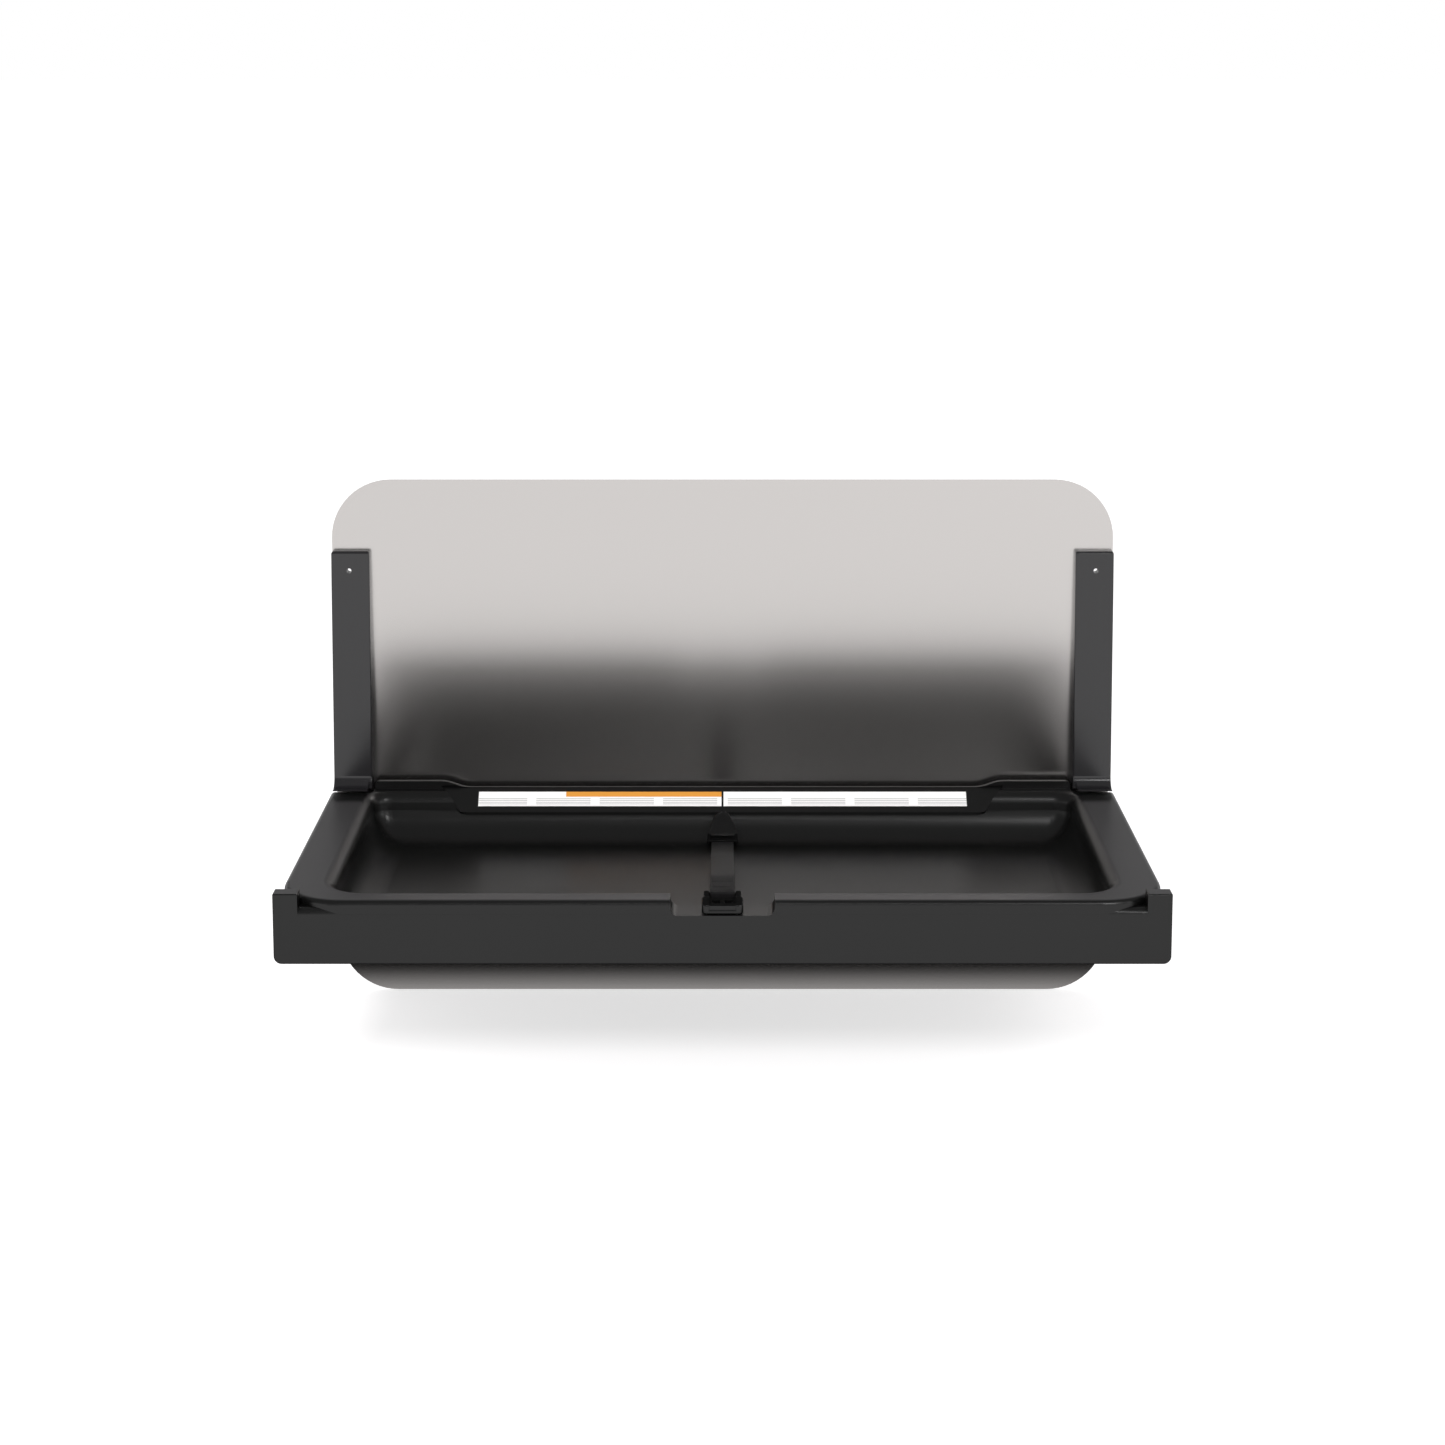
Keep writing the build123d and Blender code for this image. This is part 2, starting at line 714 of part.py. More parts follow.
    # Openings at the rear for the hinge brackets
    with BuildSketch(Plane.XY.offset(rim_z - tray_wall)):
        for side in (-1, 1):
            with Locations((side * (bracket_flange_outer + bracket_flange_inner) / 2, -rim_start)):
                Rectangle(bracket_flange_outer - bracket_flange_inner, 2 * tray_wall)
    extrude(amount=-skirt_depth, mode=Mode.SUBTRACT)

    # Holes for the hood's screws, with flat seats behind the wall
    with BuildSketch(Plane.XZ.offset(guide_screw_seat_from_wall - guide_screw_head_height)):
        with Locations(*guide_screw_places):
            Circle(guide_screw_head_radius + fit_clearance)
    extrude(amount=guide_screw_head_height, mode=Mode.SUBTRACT)
    with BuildSketch(Plane.XZ.offset(guide_screw_seat_from_wall)):
        with Locations(*guide_screw_places):
            Circle(guide_screw_radius + fit_clearance)
    extrude(amount=guide_screw_tip_from_wall - guide_screw_seat_from_wall, mode=Mode.SUBTRACT)
bed_tray.part.label = "bed_tray"
export_step(bed_tray.part, "parts/bed_tray.step")

# Underside shell, inside the tray's skirt
shell_top = rim_z - tray_wall - lap_clearance
shell_inset = tray_wall + lap_clearance
rail_middle = rail_inner_face + rail_thickness / 2

with BuildPart() as bed_shell:
    extrude(bed_outline(shell_top, shell_inset), amount=rim_z - apron_depth - shell_top)
    fillet(bed_shell.faces().sort_by(Axis.Z)[0].edges(), shell_edge_round)
    shell_hollow = bed_outline(shell_top, shell_inset + shell_wall)
    extrude(shell_hollow, amount=shell_floor_z - shell_top, mode=Mode.SUBTRACT)

    # Open at the rear beside the hinges, and slotted below for the brackets
    rear_opening = bed_half_width - shell_inset - shell_wall - shell_rear_end
    with BuildSketch(Plane.XY.offset(shell_top)):
        for side in (-1, 1):
            with Locations((side * (shell_rear_end + rear_opening / 2), -bed_rear_gap)):
                Rectangle(rear_opening, 2 * rim_start, align=(Align.CENTER, Align.CENTER))
    extrude(amount=shell_floor_z - shell_top, mode=Mode.SUBTRACT)
    with BuildSketch(Plane.XY.offset(shell_floor_z)):
        for side in (-1, 1):
            with Locations((side * (bracket_slot_inner + bracket_slot_outer) / 2, -bracket_slot_end)):
                Rectangle(
                    bracket_slot_outer - bracket_slot_inner,
                    bracket_slot_end,
                    align=(Align.CENTER, Align.MIN),
                )
    extrude(amount=-shell_wall, mode=Mode.SUBTRACT)

    # Rear wall lowered under the label facet, front wall under the grip notch and its webbing
    with BuildSketch(Plane.XY.offset(shell_top)):
        with Locations((0, -bed_rear_gap)):
            Rectangle(
                2 * (facet_top_half_width + tray_wall + lap_clearance),
                shell_inset + shell_wall,
                align=(Align.CENTER, Align.MAX),
            )
    extrude(amount=rim_z - facet_relief_drop - shell_top, mode=Mode.SUBTRACT)
    with BuildSketch(Plane.XY.offset(shell_top)):
        with Locations((0, -bed_reach)):
            Rectangle(
                2 * (notch_half_width + tray_wall + lap_clearance),
                shell_inset + shell_wall + cut_overrun,
                align=(Align.CENTER, Align.MIN),
            )
    extrude(amount=rim_z - notch_depth - tray_wall - lap_clearance - shell_top, mode=Mode.SUBTRACT)
    with BuildSketch(Plane.XY.offset(shell_top)):
        with Locations((0, -bed_reach)):
            Rectangle(
                2 * webbing_relief_half_width,
                shell_inset + shell_wall + cut_overrun,
                align=(Align.CENTER, Align.MIN),
            )
    extrude(amount=rim_z - webbing_relief_drop - shell_top, mode=Mode.SUBTRACT)

    # Ribs that bear on the rails
    with BuildSketch(Plane.XY.offset(shell_floor_z)):
        rib_places = [(side * rail_middle, -bed_reach * share) for side in (-1, 1) for share in rib_shares]
        with Locations(*rib_places):
            Rectangle(rib_width, rib_length)
    extrude(amount=rim_z - rail_depth - shell_floor_z)

    # Shallow panel, screw holes with recesses for the heads, and holes for the buffers' stems
    with BuildSketch(Plane.XY.offset(rim_z - apron_depth)):
        with Locations((0, -(bed_rear_gap + bed_reach) / 2)):
            RectangleRounded(
                2 * (bed_half_width - shell_panel_margin),
                bed_reach - bed_rear_gap - 2 * shell_panel_margin,
                shell_panel_radius,
            )
    extrude(amount=shell_panel_depth, mode=Mode.SUBTRACT)
    with BuildSketch(Plane.XY.offset(rim_z - apron_depth)):
        with Locations(*boss_places):
            Circle(boss_pilot_radius + fit_clearance)
    extrude(amount=shell_wall, mode=Mode.SUBTRACT)
    with BuildSketch(Plane.XY.offset(rim_z - apron_depth)):
        with Locations(*boss_places):
            Circle(shell_screw_head_radius + fit_clearance)
    extrude(amount=shell_screw_head_height, mode=Mode.SUBTRACT)
    with BuildSketch(Plane.XZ.offset(bed_rear_gap + shell_inset)):
        with Locations(*[(place, rim_z - bumper_drop) for place in bumper_places]):
            Circle(bumper_stem_radius)
    extrude(amount=shell_wall, mode=Mode.SUBTRACT)
bed_shell.part.label = "bed_shell"
export_step(bed_shell.part, "parts/bed_shell.step")

with BuildPart() as shell_screws:
    head_seat_z = rim_z - apron_depth + shell_screw_head_height
    for place in boss_places:
        with Locations((*place, head_seat_z)):
            Cylinder(
                boss_pilot_radius - fit_clearance,
                shell_screw_length,
                align=(Align.CENTER, Align.CENTER, Align.MIN),
            )
            Cylinder(
                shell_screw_head_radius,
                shell_screw_head_height,
                align=(Align.CENTER, Align.CENTER, Align.MAX),
            )
shell_screws.part.label = "shell_screws"
export_step(shell_screws.part, "parts/shell_screws.step")

with BuildPart() as rear_bumpers:
    bumper_face = -bed_rear_gap - shell_inset
    bumper_length = -plate_thickness - bumper_clearance - bumper_face
    for place in bumper_places:
        with Locations(Plane((place, bumper_face, rim_z - bumper_drop), z_dir=(0, 1, 0))):
            Cylinder(bumper_radius, bumper_length, align=(Align.CENTER, Align.CENTER, Align.MIN))
            Cylinder(bumper_stem_radius, bumper_stem_length, align=(Align.CENTER, Align.CENTER, Align.MAX))
    end_faces = rear_bumpers.faces().filter_by(Axis.Y).group_by(Axis.Y)[-1]
    fillet(end_faces.edges(), bumper_round)
rear_bumpers.part.label = "rear_bumpers"
export_step(rear_bumpers.part, "parts/rear_bumpers.step")

# Steel rails of the bed
rail_top_z = rim_z - tray_wall
rail_rear_y = hinge_y + rail_rear_reach
rail_bridge_y = hinge_y - rail_bridge_reach
stop_y = hinge_y + stop_orbit * cos(radians(stop_angle))
stop_z = hinge_z + stop_orbit * sin(radians(stop_angle))
rear_beam_centre = (-rear_beam_from_wall - rear_beam_size / 2, rim_z - rear_beam_drop - rear_beam_size / 2)
front_beam_centre = (
    -front_beam_from_wall - front_beam_depth / 2,
    rim_z - front_beam_drop - front_beam_height / 2,
)

with BuildPart() as side_rail_right:
    with BuildSketch(Plane.YZ.offset(rail_inner_face)):
        with BuildLine():
            Polyline(
                (rail_rear_y, rail_top_z),
                (rail_rear_y, rim_z - rail_tab_top),
                (-rail_tab_from_wall, rim_z - rail_tab_top),
                (-rail_tab_from_wall, rim_z - rail_tab_bottom),
                (-rail_step_from_wall, rim_z - rail_tab_bottom),
                (-rail_step_from_wall - rail_slope_run, rim_z - rail_depth),
                (-rail_front_from_wall, rim_z - rail_depth),
                (-rail_front_from_wall, rail_top_z),
                close=True,
            )
        make_face()
        with Locations((hinge_y, hinge_z)):
            Circle(pin_radius + fit_clearance, mode=Mode.SUBTRACT)
        with Locations((stop_y, stop_z)):
            Circle(stop_radius, mode=Mode.SUBTRACT)
        with Locations(rear_beam_centre, front_beam_centre):
            Circle(beam_bolt_radius + fit_clearance, mode=Mode.SUBTRACT)
    extrude(amount=rail_thickness)
    with BuildSketch(Plane.YZ.offset(outer_leg_from_centre)):
        with BuildLine():
            Polyline(
                (rail_rear_y, rail_top_z),
                (rail_rear_y, rim_z - rail_hinge_depth),
                (rail_bridge_y, rim_z - rail_hinge_depth),
                (rail_bridge_y, rail_top_z),
                close=True,
            )
        make_face()
        with Locations((hinge_y, hinge_z)):
            Circle(pin_radius + fit_clearance, mode=Mode.SUBTRACT)
    extrude(amount=rail_thickness)
    with BuildSketch(Plane.XY.offset(rail_top_z)):
        with Locations((rail_inner_face, rail_bridge_y)):
            Rectangle(
                outer_leg_from_centre + rail_thickness - rail_inner_face,
                rail_thickness,
                align=(Align.MIN, Align.MIN),
            )
    extrude(amount=rim_z - rail_hinge_depth - rail_top_z)
    with BuildSketch(Plane.XY.offset(rail_top_z)):
        with Locations((rail_inner_face, rail_bridge_y)):
            Rectangle(
                rail_thickness + rail_flange_width,
                rail_flange_front_from_wall + rail_bridge_y,
                align=(Align.MIN, Align.MAX),
            )
    extrude(amount=-rail_thickness)
side_rail_right.part.label = "side_rail_right"
export_step(side_rail_right.part, "parts/side_rail_right.step")

with BuildPart() as side_rail_left:
    mirror(side_rail_right.part, about=Plane.YZ)
side_rail_left.part.label = "side_rail_left"
export_step(side_rail_left.part, "parts/side_rail_left.step")


def cross_beam(centre, depth, height):
    """A square tube between the rails, with solid ends tapped for the bolts."""
    with BuildPart() as beam:
        with BuildSketch(Plane.YZ.offset(-rail_inner_face)):
            with Locations(centre):
                Rectangle(depth, height)
        extrude(amount=2 * rail_inner_face)
        with BuildSketch(Plane.YZ.offset(beam_plug - rail_inner_face)):
            with Locations(centre):
                Rectangle(depth - 2 * beam_wall, height - 2 * beam_wall)
        extrude(amount=2 * (rail_inner_face - beam_plug), mode=Mode.SUBTRACT)
        with BuildSketch(Plane.YZ.offset(-rail_inner_face)):
            with Locations(centre):
                Circle(beam_bolt_radius)
        extrude(amount=beam_plug, mode=Mode.SUBTRACT)
        with BuildSketch(Plane.YZ.offset(rail_inner_face - beam_plug)):
            with Locations(centre):
                Circle(beam_bolt_radius)
        extrude(amount=beam_plug, mode=Mode.SUBTRACT)
    return beam.part


with BuildPart() as rear_beam:
    add(cross_beam(rear_beam_centre, rear_beam_size, rear_beam_size))
rear_beam.part.label = "rear_beam"
export_step(rear_beam.part, "parts/rear_beam.step")

anchor_z = rim_z - anchor_strap_foot_drop + anchor_plate_height / 2
anchor_face = -front_beam_from_wall - front_beam_depth
with BuildPart() as front_beam:
    add(cross_beam(front_beam_centre, front_beam_depth, front_beam_height))
    with BuildSketch(Plane.XZ.offset(-anchor_face - beam_wall)):
        with Locations((-anchor_screw_half_gap, anchor_z), (anchor_screw_half_gap, anchor_z)):
            Circle(anchor_screw_radius)
    extrude(amount=beam_wall, mode=Mode.SUBTRACT)
front_beam.part.label = "front_beam"
export_step(front_beam.part, "parts/front_beam.step")

with BuildPart() as beam_bolts:
    for side in (-1, 1):
        for centre in (rear_beam_centre, front_beam_centre):
            with Locations(Plane((side * (rail_inner_face + rail_thickness), *centre), z_dir=(-side, 0, 0))):
                Cylinder(
                    beam_bolt_radius, beam_bolt_length, align=(Align.CENTER, Align.CENTER, Align.MIN)
                )
                Cylinder(
                    beam_bolt_head_radius,
                    beam_bolt_head_height,
                    align=(Align.CENTER, Align.CENTER, Align.MAX),
                )
beam_bolts.part.label = "beam_bolts"
export_step(beam_bolts.part, "parts/beam_bolts.step")

# Hinge brackets, with the studs and nuts that hold them to the plate
web_end = web_from_centre + web_thickness
flange_face_y = -plate_thickness - bracket_flange_thickness
stud_x = (web_end + bracket_flange_outer) / 2
flange_height = web_bottom_drop - web_top_drop
stud_heights = [hinge_z - web_top_drop - flange_height * share for share in stud_shares]
lug_places = [(hinge_y + place, hinge_z - damper_lug_drop) for place in damper_lug_places]

with BuildPart() as hinge_bracket_right:
    with BuildSketch(Plane.YZ.offset(web_from_centre)) as web_profile:
        with BuildLine():
            Polyline(
                (hinge_y + neck_rear, hinge_z),
                (hinge_y + neck_rear, hinge_z - web_top_drop),
                (-plate_thickness, hinge_z - web_top_drop),
                (-plate_thickness, hinge_z - web_bottom_drop),
                (-plate_thickness - bracket_flange_thickness - web_foot_height, hinge_z - web_bottom_drop),
                (hinge_y - neck_front, hinge_z - web_front_drop),
                (hinge_y - neck_front, hinge_z - eye_radius),
                (hinge_y - eye_radius, hinge_z),
                close=True,
            )
        make_face()
        neck_low = hinge_z - web_top_drop - neck_corner_radius
        inner_corner = [v for v in web_profile.vertices() if v.Z > neck_low]
        inner_corner = [v for v in inner_corner if v.Y < 0 and v.Y > hinge_y and v.Z < hinge_z - eye_radius]
        fillet(sorted(inner_corner, key=lambda v: v.Y)[:1], neck_corner_radius)
        with Locations((hinge_y, hinge_z)):
            Circle(eye_radius)
            Circle(bush_radius, mode=Mode.SUBTRACT)
        with Locations(*lug_places):
            Circle(damper_screw_radius + fit_clearance, mode=Mode.SUBTRACT)
    extrude(amount=web_thickness)
    with BuildSketch(Plane.XZ.offset(plate_thickness)):
        with Locations(((bracket_flange_inner + bracket_flange_outer) / 2, hinge_z - web_top_drop)):
            Rectangle(
                bracket_flange_outer - bracket_flange_inner,
                flange_height,
                align=(Align.CENTER, Align.MAX),
            )
    extrude(amount=bracket_flange_thickness)
    with BuildSketch(Plane.XZ.offset(plate_thickness)):
        with Locations(*[(stud_x, height) for height in stud_heights]):
            Circle(stud_radius + fit_clearance)
    extrude(amount=bracket_flange_thickness, mode=Mode.SUBTRACT)
hinge_bracket_right.part.label = "hinge_bracket_right"
export_step(hinge_bracket_right.part, "parts/hinge_bracket_right.step")

with BuildPart() as hinge_bracket_left:
    mirror(hinge_bracket_right.part, about=Plane.YZ)
hinge_bracket_left.part.label = "hinge_bracket_left"
export_step(hinge_bracket_left.part, "parts/hinge_bracket_left.step")

stud_places = [(side * stud_x, height) for side in (-1, 1) for height in stud_heights]
with BuildPart() as bracket_studs:
    with BuildSketch(Plane.XZ.offset(plate_thickness)):
        with Locations(*stud_places):
            Circle(stud_radius)
    extrude(amount=stud_length)
bracket_studs.part.label = "bracket_studs"
export_step(bracket_studs.part, "parts/bracket_studs.step")

with BuildPart() as bracket_nuts:
    with BuildSketch(Plane.XZ.offset(-flange_face_y)):
        with Locations(*stud_places):
            RegularPolygon(nut_across / 2, side_count=6, major_radius=False)
            Circle(stud_radius + fit_clearance, mode=Mode.SUBTRACT)
    extrude(amount=nut_height)
bracket_nuts.part.label = "bracket_nuts"
export_step(bracket_nuts.part, "parts/bracket_nuts.step")

# Flanged bush in each bracket's eye
bush_flange_start = rail_inner_face + rail_thickness + bush_flange_gap
with BuildPart() as hinge_bushing_right:
    with BuildSketch(Plane.YZ.offset(web_from_centre)):
        with Locations((hinge_y, hinge_z)):
            Circle(bush_radius)
            Circle(pin_radius + fit_clearance, mode=Mode.SUBTRACT)
    extrude(amount=web_thickness)
    with BuildSketch(Plane.YZ.offset(bush_flange_start)):
        with Locations((hinge_y, hinge_z)):
            Circle(bush_flange_radius)
            Circle(pin_radius + fit_clearance, mode=Mode.SUBTRACT)
    extrude(amount=web_from_centre - bush_flange_start)
hinge_bushing_right.part.label = "hinge_bushing_right"
export_step(hinge_bushing_right.part, "parts/hinge_bushing_right.step")

with BuildPart() as hinge_bushing_left:
    mirror(hinge_bushing_right.part, about=Plane.YZ)
hinge_bushing_left.part.label = "hinge_bushing_left"
export_step(hinge_bushing_left.part, "parts/hinge_bushing_left.step")

# Hinge pin, grooved for its clip
rail_outer_face = outer_leg_from_centre + rail_thickness
pin_end_x = rail_outer_face + clip_clearance + clip_thickness + pin_end_reach
with BuildPart() as hinge_pin_right:
    with BuildSketch(Plane.YZ.offset(rail_inner_face - pin_head_height)):
        with Locations((hinge_y, hinge_z)):
            Circle(pin_head_radius)
    extrude(amount=pin_head_height)
    with BuildSketch(Plane.YZ.offset(rail_inner_face)):
        with Locations((hinge_y, hinge_z)):
            Circle(pin_radius)
    extrude(amount=pin_end_x - rail_inner_face)
    chamfer(hinge_pin_right.faces().sort_by(Axis.X)[-1].edges(), pin_end_chamfer)
    with BuildSketch(Plane.YZ.offset(rail_outer_face + clip_clearance)):
        with Locations((hinge_y, hinge_z)):
            Circle(pin_radius + fit_clearance)
            Circle(pin_radius - clip_groove_depth, mode=Mode.SUBTRACT)
    extrude(amount=clip_thickness, mode=Mode.SUBTRACT)
hinge_pin_right.part.label = "hinge_pin_right"
export_step(hinge_pin_right.part, "parts/hinge_pin_right.step")

with BuildPart() as hinge_pin_left:
    mirror(hinge_pin_right.part, about=Plane.YZ)
hinge_pin_left.part.label = "hinge_pin_left"
export_step(hinge_pin_left.part, "parts/hinge_pin_left.step")

with BuildPart() as pin_clips:
    for start in (rail_outer_face + clip_clearance, -rail_outer_face - clip_clearance - clip_thickness):
        with BuildSketch(Plane.YZ.offset(start)):
            with Locations((hinge_y, hinge_z)):
                Circle(clip_radius)
                Circle(pin_radius - clip_groove_depth, mode=Mode.SUBTRACT)
                Rectangle(clip_mouth, clip_radius, align=(Align.CENTER, Align.MAX), mode=Mode.SUBTRACT)
        extrude(amount=clip_thickness)
pin_clips.part.label = "pin_clips"
export_step(pin_clips.part, "parts/pin_clips.step")

with BuildPart() as stop_pins:
    for start in (rail_inner_face, -rail_inner_face - stop_reach):
        with BuildSketch(Plane.YZ.offset(start)):
            with Locations((stop_y, stop_z)):
                Circle(stop_radius)
        extrude(amount=stop_reach)
stop_pins.part.label = "stop_pins"
export_step(stop_pins.part, "parts/stop_pins.step")

# Rotary damper: the housing on the bracket, the rotor on the pin
damper_bore = damper_radius - damper_wall
vane_radius = damper_bore - rotor_clearance
with BuildPart() as damper_housing_right:
    with BuildSketch(Plane.YZ.offset(web_end)):
        with Locations((hinge_y, hinge_z)):
            Circle(damper_radius)
    extrude(amount=damper_length)
    with BuildSketch(Plane.YZ.offset(web_end)):
        with Locations(*lug_places):
            Circle(damper_lug_radius)
        with BuildLine():
            Polyline(
                (lug_places[0][0] - damper_lug_radius, lug_places[0][1]),
                (lug_places[1][0] + damper_lug_radius, lug_places[1][1]),
                (lug_places[1][0] + damper_lug_radius, hinge_z - damper_radius / 2),
                (lug_places[0][0] - damper_lug_radius, hinge_z - damper_radius / 2),
                close=True,
            )
        make_face()
        with BuildLine():
            Polyline(
                (lug_places[0][0], lug_places[0][1] - damper_lug_radius),
                (lug_places[1][0], lug_places[1][1] - damper_lug_radius),
                (lug_places[1][0], lug_places[1][1]),
                (lug_places[0][0], lug_places[0][1]),
                close=True,
            )
        make_face()
    extrude(amount=damper_base)
    with BuildSketch(Plane.YZ.offset(web_end + damper_wall)):
        with Locations((hinge_y, hinge_z)):
            Circle(damper_bore)
            with PolarLocations(rotor_hub_radius + rotor_clearance, len(stator_angles)):
                Rectangle(damper_bore, vane_width, align=(Align.MIN, Align.CENTER), mode=Mode.SUBTRACT)
    extrude(amount=damper_length - 2 * damper_wall, mode=Mode.SUBTRACT)
    with BuildSketch(Plane.YZ.offset(web_end)):
        with Locations((hinge_y, hinge_z)):
            Circle(pin_radius + damper_wall / 2)
        with Locations(*lug_places):
            Circle(damper_screw_radius + fit_clearance)
    extrude(amount=damper_base, mode=Mode.SUBTRACT)
    with BuildSketch(Plane.YZ.offset(web_end)):
        with Locations((hinge_y, hinge_z)):
            Circle(pin_radius + damper_wall / 2)
    extrude(amount=damper_length, mode=Mode.SUBTRACT)
damper_housing_right.part.label = "damper_housing_right"
export_step(damper_housing_right.part, "parts/damper_housing_right.step")

with BuildPart() as damper_housing_left:
    mirror(damper_housing_right.part, about=Plane.YZ)
damper_housing_left.part.label = "damper_housing_left"
export_step(damper_housing_left.part, "parts/damper_housing_left.step")

with BuildPart() as damper_rotor_right:
    with BuildSketch(Plane.YZ.offset(web_end + damper_wall + rotor_clearance)):
        with Locations((hinge_y, hinge_z)):
            Circle(rotor_hub_radius)
            with PolarLocations(0, len(vane_angles), start_angle=vane_angles[0]):
                Rectangle(vane_radius, vane_width, align=(Align.MIN, Align.CENTER))
            Circle(pin_radius, mode=Mode.SUBTRACT)
    extrude(amount=damper_length - 2 * (damper_wall + rotor_clearance))
damper_rotor_right.part.label = "damper_rotor_right"
export_step(damper_rotor_right.part, "parts/damper_rotor_right.step")

with BuildPart() as damper_rotor_left:
    mirror(damper_rotor_right.part, about=Plane.YZ)
damper_rotor_left.part.label = "damper_rotor_left"
export_step(damper_rotor_left.part, "parts/damper_rotor_left.step")

with BuildPart() as damper_screws:
    for side in (-1, 1):
        for place in lug_places:
            with Locations(Plane((side * (web_end + damper_base), *place), z_dir=(-side, 0, 0))):
                Cylinder(
                    damper_screw_radius,
                    damper_base + web_thickness,
                    align=(Align.CENTER, Align.CENTER, Align.MIN),
                )
                Cylinder(
                    damper_screw_head_radius,
                    damper_screw_head_height,
                    align=(Align.CENTER, Align.CENTER, Align.MAX),
                )
damper_screws.part.label = "damper_screws"
export_step(damper_screws.part, "parts/damper_screws.step")

# Two label strips on the slanted facet
label_middle = -label_top_margin - label_height / 2
with BuildPart() as label_right:
    with BuildSketch(facet_plane):
        with Locations(((label_gap + label_width) / 2, label_middle)):
            Rectangle(label_width, label_height)
    extrude(amount=label_thickness)
label_right.part.label = "label_right"
export_step(label_right.part, "parts/label_right.step")

with BuildPart() as label_left:
    mirror(label_right.part, about=Plane.YZ)
label_left.part.label = "label_left"
export_step(label_left.part, "parts/label_left.step")

# Hood for the strap, on the basin's rear wall
hood_low_z = rim_z - hood_low_drop
hood_top_z = rim_z - hood_top_drop
mouth_half_width = webbing_width / 2 + hood_mouth_side
mouth_slope = (strap_exit_drop - strap_start_drop) / (hood_nose_from_wall - strap_start_from_wall)
mouth_back_z = rim_z - strap_start_drop + (strap_start_from_wall - hood_mouth_back_from_wall) * mouth_slope
mouth_front_y = -hood_nose_from_wall - cut_overrun
mouth_front_z = rim_z - strap_exit_drop - cut_overrun * mouth_slope

with BuildPart() as strap_guide:
    with BuildSketch(Plane.YZ.offset(-hood_half_width)):
        with BuildLine():
            Polyline((-hood_nose_from_wall, hood_low_z), (0, hood_low_z), (0, hood_top_z))
            Line((0, hood_top_z), (-hood_back_from_wall, hood_top_z))
            Spline(
                (-hood_back_from_wall, hood_top_z),
                (-hood_belly_from_wall, rim_z - hood_belly_drop),
                (-hood_nose_from_wall, hood_low_z),
                tangents=((-1, 0), (0, -1)),
            )
        make_face()
    extrude(amount=2 * hood_half_width)
    with BuildSketch(Plane.XZ):
        with BuildLine():
            Line((-hood_half_width, hood_low_z), (hood_half_width, hood_low_z))
            Spline((hood_half_width, hood_low_z), (0, hood_top_z), (-hood_half_width, hood_low_z))
        make_face()
    extrude(amount=hood_nose_from_wall, mode=Mode.INTERSECT)
    add(basin_void.part, mode=Mode.INTERSECT)
    add(bed_tray.part, mode=Mode.SUBTRACT)
    with BuildSketch(Plane.YZ.offset(-mouth_half_width)):
        with BuildLine():
            Polyline(
                (-hood_mouth_back_from_wall, mouth_back_z + hood_mouth_height / 2),
                (-hood_mouth_back_from_wall, mouth_back_z - hood_mouth_height / 2),
                (mouth_front_y, mouth_front_z - hood_mouth_height / 2),
                (mouth_front_y, mouth_front_z + hood_mouth_height / 2),
                close=True,
            )
        make_face()
    extrude(amount=2 * mouth_half_width, mode=Mode.SUBTRACT)
    with BuildSketch(Plane.XZ.offset(guide_screw_seat_from_wall)):
        with Locations(*guide_screw_places):
            Circle(guide_screw_radius + fit_clearance)
    extrude(amount=guide_screw_tip_from_wall - guide_screw_seat_from_wall, mode=Mode.SUBTRACT)
strap_guide.part.label = "strap_guide"
export_step(strap_guide.part, "parts/strap_guide.step")

with BuildPart() as strap_guide_screws:
    for place, height in guide_screw_places:
        with Locations(Plane((place, -guide_screw_seat_from_wall, height), z_dir=(0, -1, 0))):
            Cylinder(
                guide_screw_radius,
                guide_screw_tip_from_wall - guide_screw_seat_from_wall,
                align=(Align.CENTER, Align.CENTER, Align.MIN),
            )
            Cylinder(
                guide_screw_head_radius,
                guide_screw_head_height,
                align=(Align.CENTER, Align.CENTER, Align.MAX),
            )
strap_guide_screws.part.label = "strap_guide_screws"
export_step(strap_guide_screws.part, "parts/strap_guide_screws.step")

# Side-release buckle. Its own plane has the mouth as origin and y back along the strap.
tilt_sine = sin(radians(buckle_tilt))
tilt_cosine = cos(radians(buckle_tilt))
buckle_y = -buckle_mouth_from_wall
buckle_z = (
    rim_z
    - notch_depth
    + buckle_seat_gap
    + housing_length * tilt_sine
    + buckle_height / 2 * tilt_cosine
)


def buckle_plane(rise=0):
    """The buckle's own plane, moved up along its normal."""
    return Plane(
        origin=(0, buckle_y - rise * tilt_sine, buckle_z + rise * tilt_cosine),
        x_dir=(1, 0, 0),
        z_dir=(0, -tilt_sine, tilt_cosine),
    )


def from_buckle(back, rise):
    """A point of the buckle's own plane, as (y, z) of the station."""
    return (
        buckle_y + back * tilt_cosine - rise * tilt_sine,
        buckle_z + back * tilt_sine + rise * tilt_cosine,
    )


